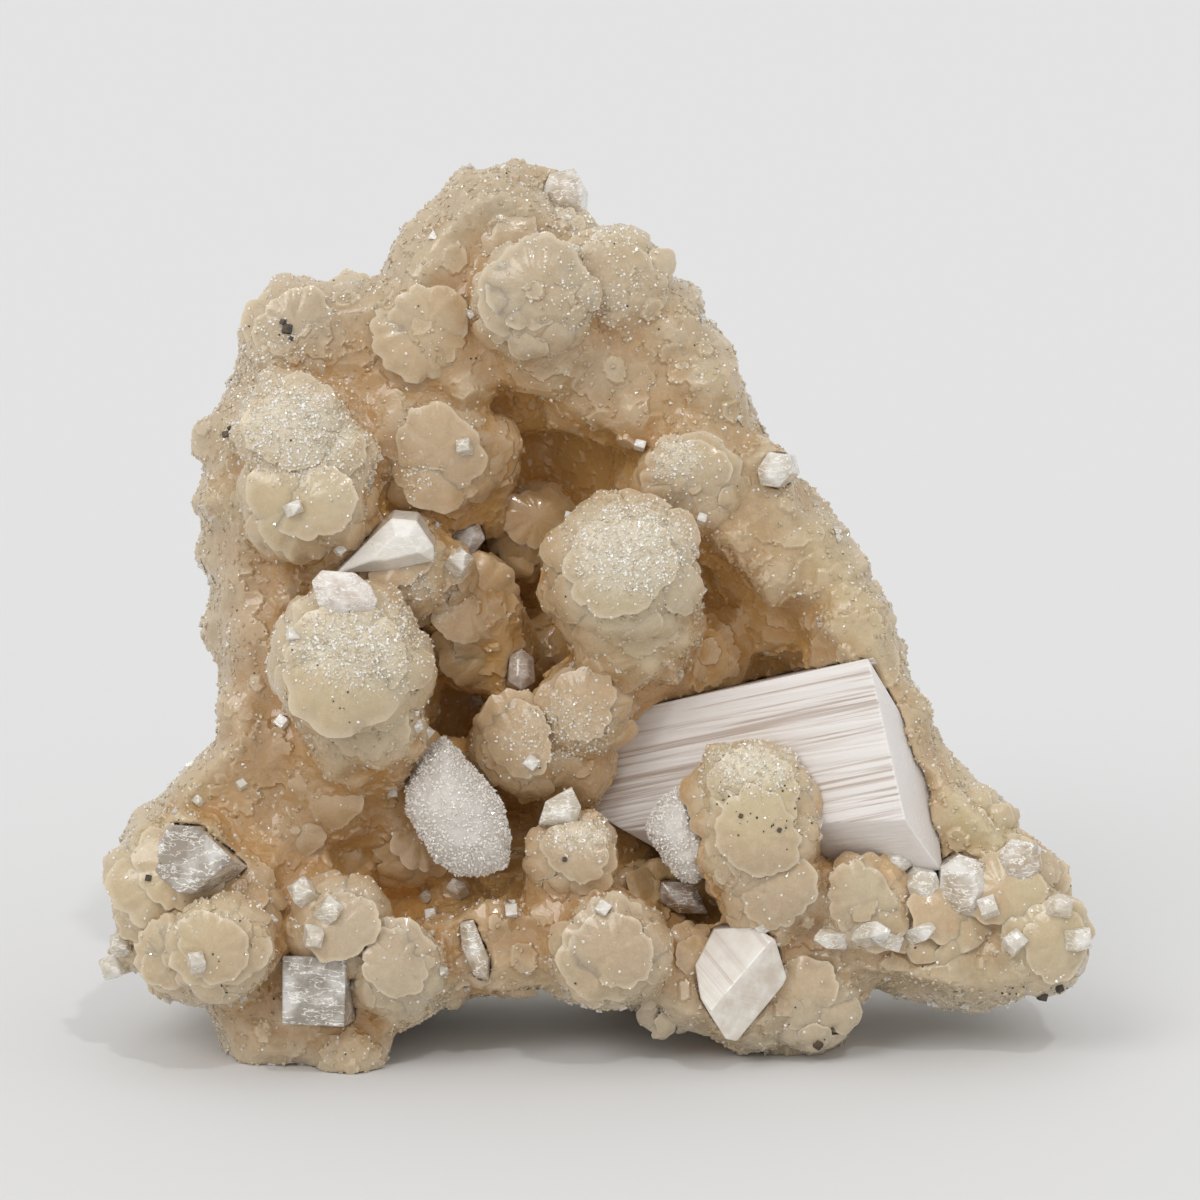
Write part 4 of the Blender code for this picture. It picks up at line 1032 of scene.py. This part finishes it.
print("loose crystals")
looseLook = {
    # where in photograph pixels, width in mm, length as a share of it, lean right and up
    "pointed": (
        (459, 566, 2.0, 1.2, 0.3, 0.6), (638, 825, 2.3, 0.7, 0.4, 0.3), (459, 895, 1.5, 1.6, -0.3, 0.8),
        (298, 511, 1.3, 1.2, 0.5, 0.2), (467, 450, 1.4, 1.0, -0.4, 0.5), (206, 956, 1.5, 1.3, 0.1, 0.7),
        (472, 705, 1.2, 1.1, 0.5, 0.5), (532, 762, 1.3, 0.6, 0.0, 0.3), (310, 890, 2.2, 0.9, -0.6, 0.6),
        (332, 906, 2.0, 0.9, 0.7, 0.6), (318, 928, 1.7, 1.0, 0.2, -0.5), (835, 936, 1.6, 1.9, -0.9, 0.1),
        (862, 931, 1.8, 1.7, 0.9, 0.2), (888, 938, 1.6, 1.9, -0.8, 0.3), (912, 931, 1.6, 1.6, 0.9, 0.4),
        (118, 965, 2.2, 0.9, -0.6, -0.1), (126, 944, 1.9, 0.9, -0.5, 0.5), (1052, 905, 2.0, 0.9, 0.7, 0.4),
        (1070, 935, 2.1, 0.8, 0.8, 0.0), (1010, 940, 1.9, 0.9, 0.1, 0.5), (985, 905, 1.8, 0.8, -0.3, 0.5),
        (565, 175, 1.8, 0.9, -0.3, 0.9), (548, 190, 1.5, 1.0, -0.8, 0.6), (622, 172, 1.7, 0.9, 0.4, 0.9),
    ),
    "block": (
        (424, 899, 1.1, 1.0, 0.3, 0.3), (432, 914, 1.1, 1.0, -0.2, 0.2), (602, 904, 1.3, 1.0, 0.2, 0.4),
        (512, 909, 1.2, 0.8, 0.0, 0.4), (285, 722, 1.2, 0.9, -0.3, 0.4), (301, 634, 1.2, 0.9, 0.4, 0.4),
        (343, 551, 0.9, 0.9, 0.4, 0.2), (202, 800, 0.9, 0.9, -0.4, 0.6), (244, 784, 0.9, 0.9, 0.1, 0.8),
        (640, 446, 1.1, 0.9, 0.1, 0.5), (700, 520, 0.9, 1.0, 0.2, 0.4), (815, 700, 1.1, 0.9, 0.4, 0.5),
    ),
    # dark grains of matrix, larger than the specks
    "dark": (
        (290, 332, 0.9, 0.7, 0.3, 0.3), (286, 325, 0.5, 0.8, -0.3, 0.3), (294, 341, 0.4, 0.8, 0.1, 0.1),
        (229, 436, 0.6, 0.7, -0.2, 0.2), (233, 430, 0.4, 0.8, 0.3, 0.3), (196, 405, 0.9, 0.8, -0.6, 0.2),
        (205, 873, 0.5, 0.8, 0.0, 0.4), (155, 874, 0.6, 0.6, 0.1, 0.2), (1040, 994, 0.9, 0.8, 0.4, -0.2),
        (1056, 986, 0.7, 0.9, 0.5, 0.0), (817, 1042, 0.8, 0.8, 0.0, -0.4), (124, 970, 0.7, 0.8, -0.5, 0.0),
        (565, 856, 0.4, 0.8, 0.1, 0.3), (738, 812, 0.4, 0.8, 0.2, 0.4), (776, 826, 0.4, 0.8, 0.1, 0.4),
    ),
    "sink": 0.3, "startDepth": -60, "seed": 3, "pyramid": 0.42, "tip": 0.3,
    "pointedBevel": 0.05, "blockBevel": 0.07,
}


def masterCrystal(name, pointed):
    # a square crystal of unit width that stands on its base, with a pyramid or with bevelled edges
    clearSelection()
    bpy.ops.mesh.primitive_cube_add(size=1, location=(0, 0, 0))
    master = bpy.context.object
    master.name = name
    bpy.ops.object.mode_set(mode="EDIT")
    if pointed:
        # the top face is drawn out and in to a blunt pyramid
        bpy.ops.mesh.select_all(action="DESELECT")
        bpy.ops.object.mode_set(mode="OBJECT")
        for face in master.data.polygons:
            face.select = face.normal.z > 0.5
        bpy.ops.object.mode_set(mode="EDIT")
        bpy.ops.mesh.select_mode(type="FACE")
        bpy.ops.mesh.extrude_region_move(TRANSFORM_OT_translate={"value": (0, 0, looseLook["pyramid"])})
        bpy.ops.transform.resize(value=[looseLook["tip"]] * 3)
    bpy.ops.object.mode_set(mode="OBJECT")
    bevel = looseLook["pointedBevel"] if pointed else looseLook["blockBevel"]
    applied(master, "BEVEL", width=bevel, segments=1, limit_method="ANGLE", material=1)
    return master


def looseCrystals(name, master, places, trees, chance):
    # copies of one crystal, each on the first surface behind its pixel, joined in one piece
    made = []
    for px, py, wide, tall, right, up in places:
        x, z = atPixel(px, py)
        hits = [tree.ray_cast(onFace(x, z, looseLook["startDepth"]), sight)[0] for tree in trees]
        hits = [hit for hit in hits if hit is not None]
        if not hits:
            continue
        spot = min(hits, key=lambda hit: hit.dot(sight))
        way = (-sight + Vector((right, 0, up))).normalized()
        turn = way.to_track_quat("Z", "Y").to_matrix() @ Matrix.Rotation(chance.uniform(0, 3), 3, "Z")
        mesh = master.data.copy()
        size = Matrix.Diagonal((wide * mm, wide * mm, wide * tall * mm)).to_4x4()
        middle = spot + way * (0.5 - looseLook["sink"]) * wide * tall * mm
        mesh.transform(Matrix.Translation(middle) @ turn.to_4x4() @ size)
        made.append(placed(name, mesh))
    clearSelection()
    for copied in made:
        copied.select_set(True)
    bpy.context.view_layer.objects.active = made[0]
    bpy.ops.object.join()
    made[0].name = name
    bpy.data.objects.remove(master)
    return made[0]


depsgraph = bpy.context.evaluated_depsgraph_get()
trees = [BVHTree.FromObject(piece, depsgraph) for piece in (crustFront, crownPiece, petalPiece)]
chance = random.Random(looseLook["seed"])
for kind in ("pointed", "block"):
    master = masterCrystal(kind, kind == "pointed")
    crystals = looseCrystals(kind + "_crystals", master, looseLook[kind], trees, chance)
    finished(crystals, kinds["glassy"], "clear_apophyllite")
    # the bevels take a painted highlight
    crystals.data.materials.append(paintedEdgeHighlight)

print("grains")


def grainPaint(name, first, second, roughness, coat):
    # mottled between two colours
    paint = Paint(name)
    color = paint.mixed(paint.ramp(paint.noise(1.8, 3, 0.6), 0.42, 0.60), first, second)
    return paint.done(paint.finish(
        baseColor=color, roughness=roughness, ior=1.55, coatWeight=coat, coatRoughness=0.03,
    ))


sugarGrain = grainPaint("sugarGrain", (0.66, 0.55, 0.39, 1), (0.95, 0.93, 0.88, 1), 0.05, 1.0)
frostGrain = grainPaint("frostGrain", (0.78, 0.72, 0.64, 1), (0.92, 0.90, 0.87, 1), 0.06, 0.8)
glintGrain = grainPaint("glintGrain", (0.90, 0.84, 0.74, 1), (0.97, 0.96, 0.93, 1), 0.03, 1.0)
speckGrain = grainPaint("speckGrain", (0.02, 0.02, 0.015, 1), (0.10, 0.06, 0.03, 1), 0.5, 0.0)
darkGrains = looseCrystals("matrix_grains", masterCrystal("block", False), looseLook["dark"], trees, chance)
finished(darkGrains, speckGrain, "druse")
spindleSurface = trianglesOf(spindles)
for name, kind, surface, paint, slot in (
    ("rim_crystals", "rim", trianglesOf([crustFront, crustBack]), kinds["rim"], "clear_apophyllite"),
    ("sugar_grains", "sugar", crustSurface, sugarGrain, "druse"),
    ("glint_grains", "glints", crustSurface, glintGrain, "druse"),
    ("dark_specks", "specks", crustSurface, speckGrain, "druse"),
    ("spindle_frost", "frost", spindleSurface, frostGrain, "white_druse"),
):
    finished(grainsOn(surface, name, **grainLook[kind]), paint, slot)

print("studio")
studioLook = {
    "target": (0.15 * mm, -5.33 * mm, 44.83 * mm), "elevation": 12, "distance": 0.6, "lens": 180,
    "sensor": 36, "floorSize": 6.0, "floorColor": (0.735, 0.735, 0.735, 1), "floorRoughness": 0.9,
    "worldColor": (1, 1, 1, 1), "worldStrength": 0.78,
    # direction to the light, apparent size in degrees, strength
    "lights": {"key": ((-0.45, -0.60, 0.66), 28, 0.75), "glint": ((0.22, -0.55, 0.80), 2.5, 0.4)},
}


def addStudio():
    clearSelection()
    bpy.ops.mesh.primitive_plane_add(size=studioLook["floorSize"], location=(0, 0, 0))
    floor = bpy.context.object
    floor.name = "floor"
    paint = Paint("paleFloor")
    surface = paint.finish(baseColor=studioLook["floorColor"], roughness=studioLook["floorRoughness"])
    floor.data.materials.append(paint.done(surface))
    for name, (way, size, strength) in studioLook["lights"].items():
        lamp = bpy.data.lights.new(name, "SUN")
        lamp.angle = math.radians(size)
        lamp.energy = strength
        light = placed(name, lamp)
        light.rotation_euler = Vector(way).to_track_quat("Z", "Y").to_euler()
    world = bpy.data.worlds.new("studio")
    world.use_nodes = True
    background = world.node_tree.nodes["Background"]
    background.inputs["Color"].default_value = studioLook["worldColor"]
    background.inputs["Strength"].default_value = studioLook["worldStrength"]
    bpy.context.scene.world = world
    bpy.context.scene.view_settings.view_transform = "Standard"


def addCamera():
    tilt = math.radians(studioLook["elevation"])
    back = Vector((0, -math.cos(tilt), math.sin(tilt)))
    camera = placed("camera", bpy.data.cameras.new("camera"))
    camera.location = Vector(studioLook["target"]) + back * studioLook["distance"]
    camera.rotation_euler = (-back).to_track_quat("-Z", "Y").to_euler()
    camera.data.lens = studioLook["lens"]
    camera.data.sensor_width = studioLook["sensor"]
    bpy.context.scene.camera = camera


addStudio()
addCamera()
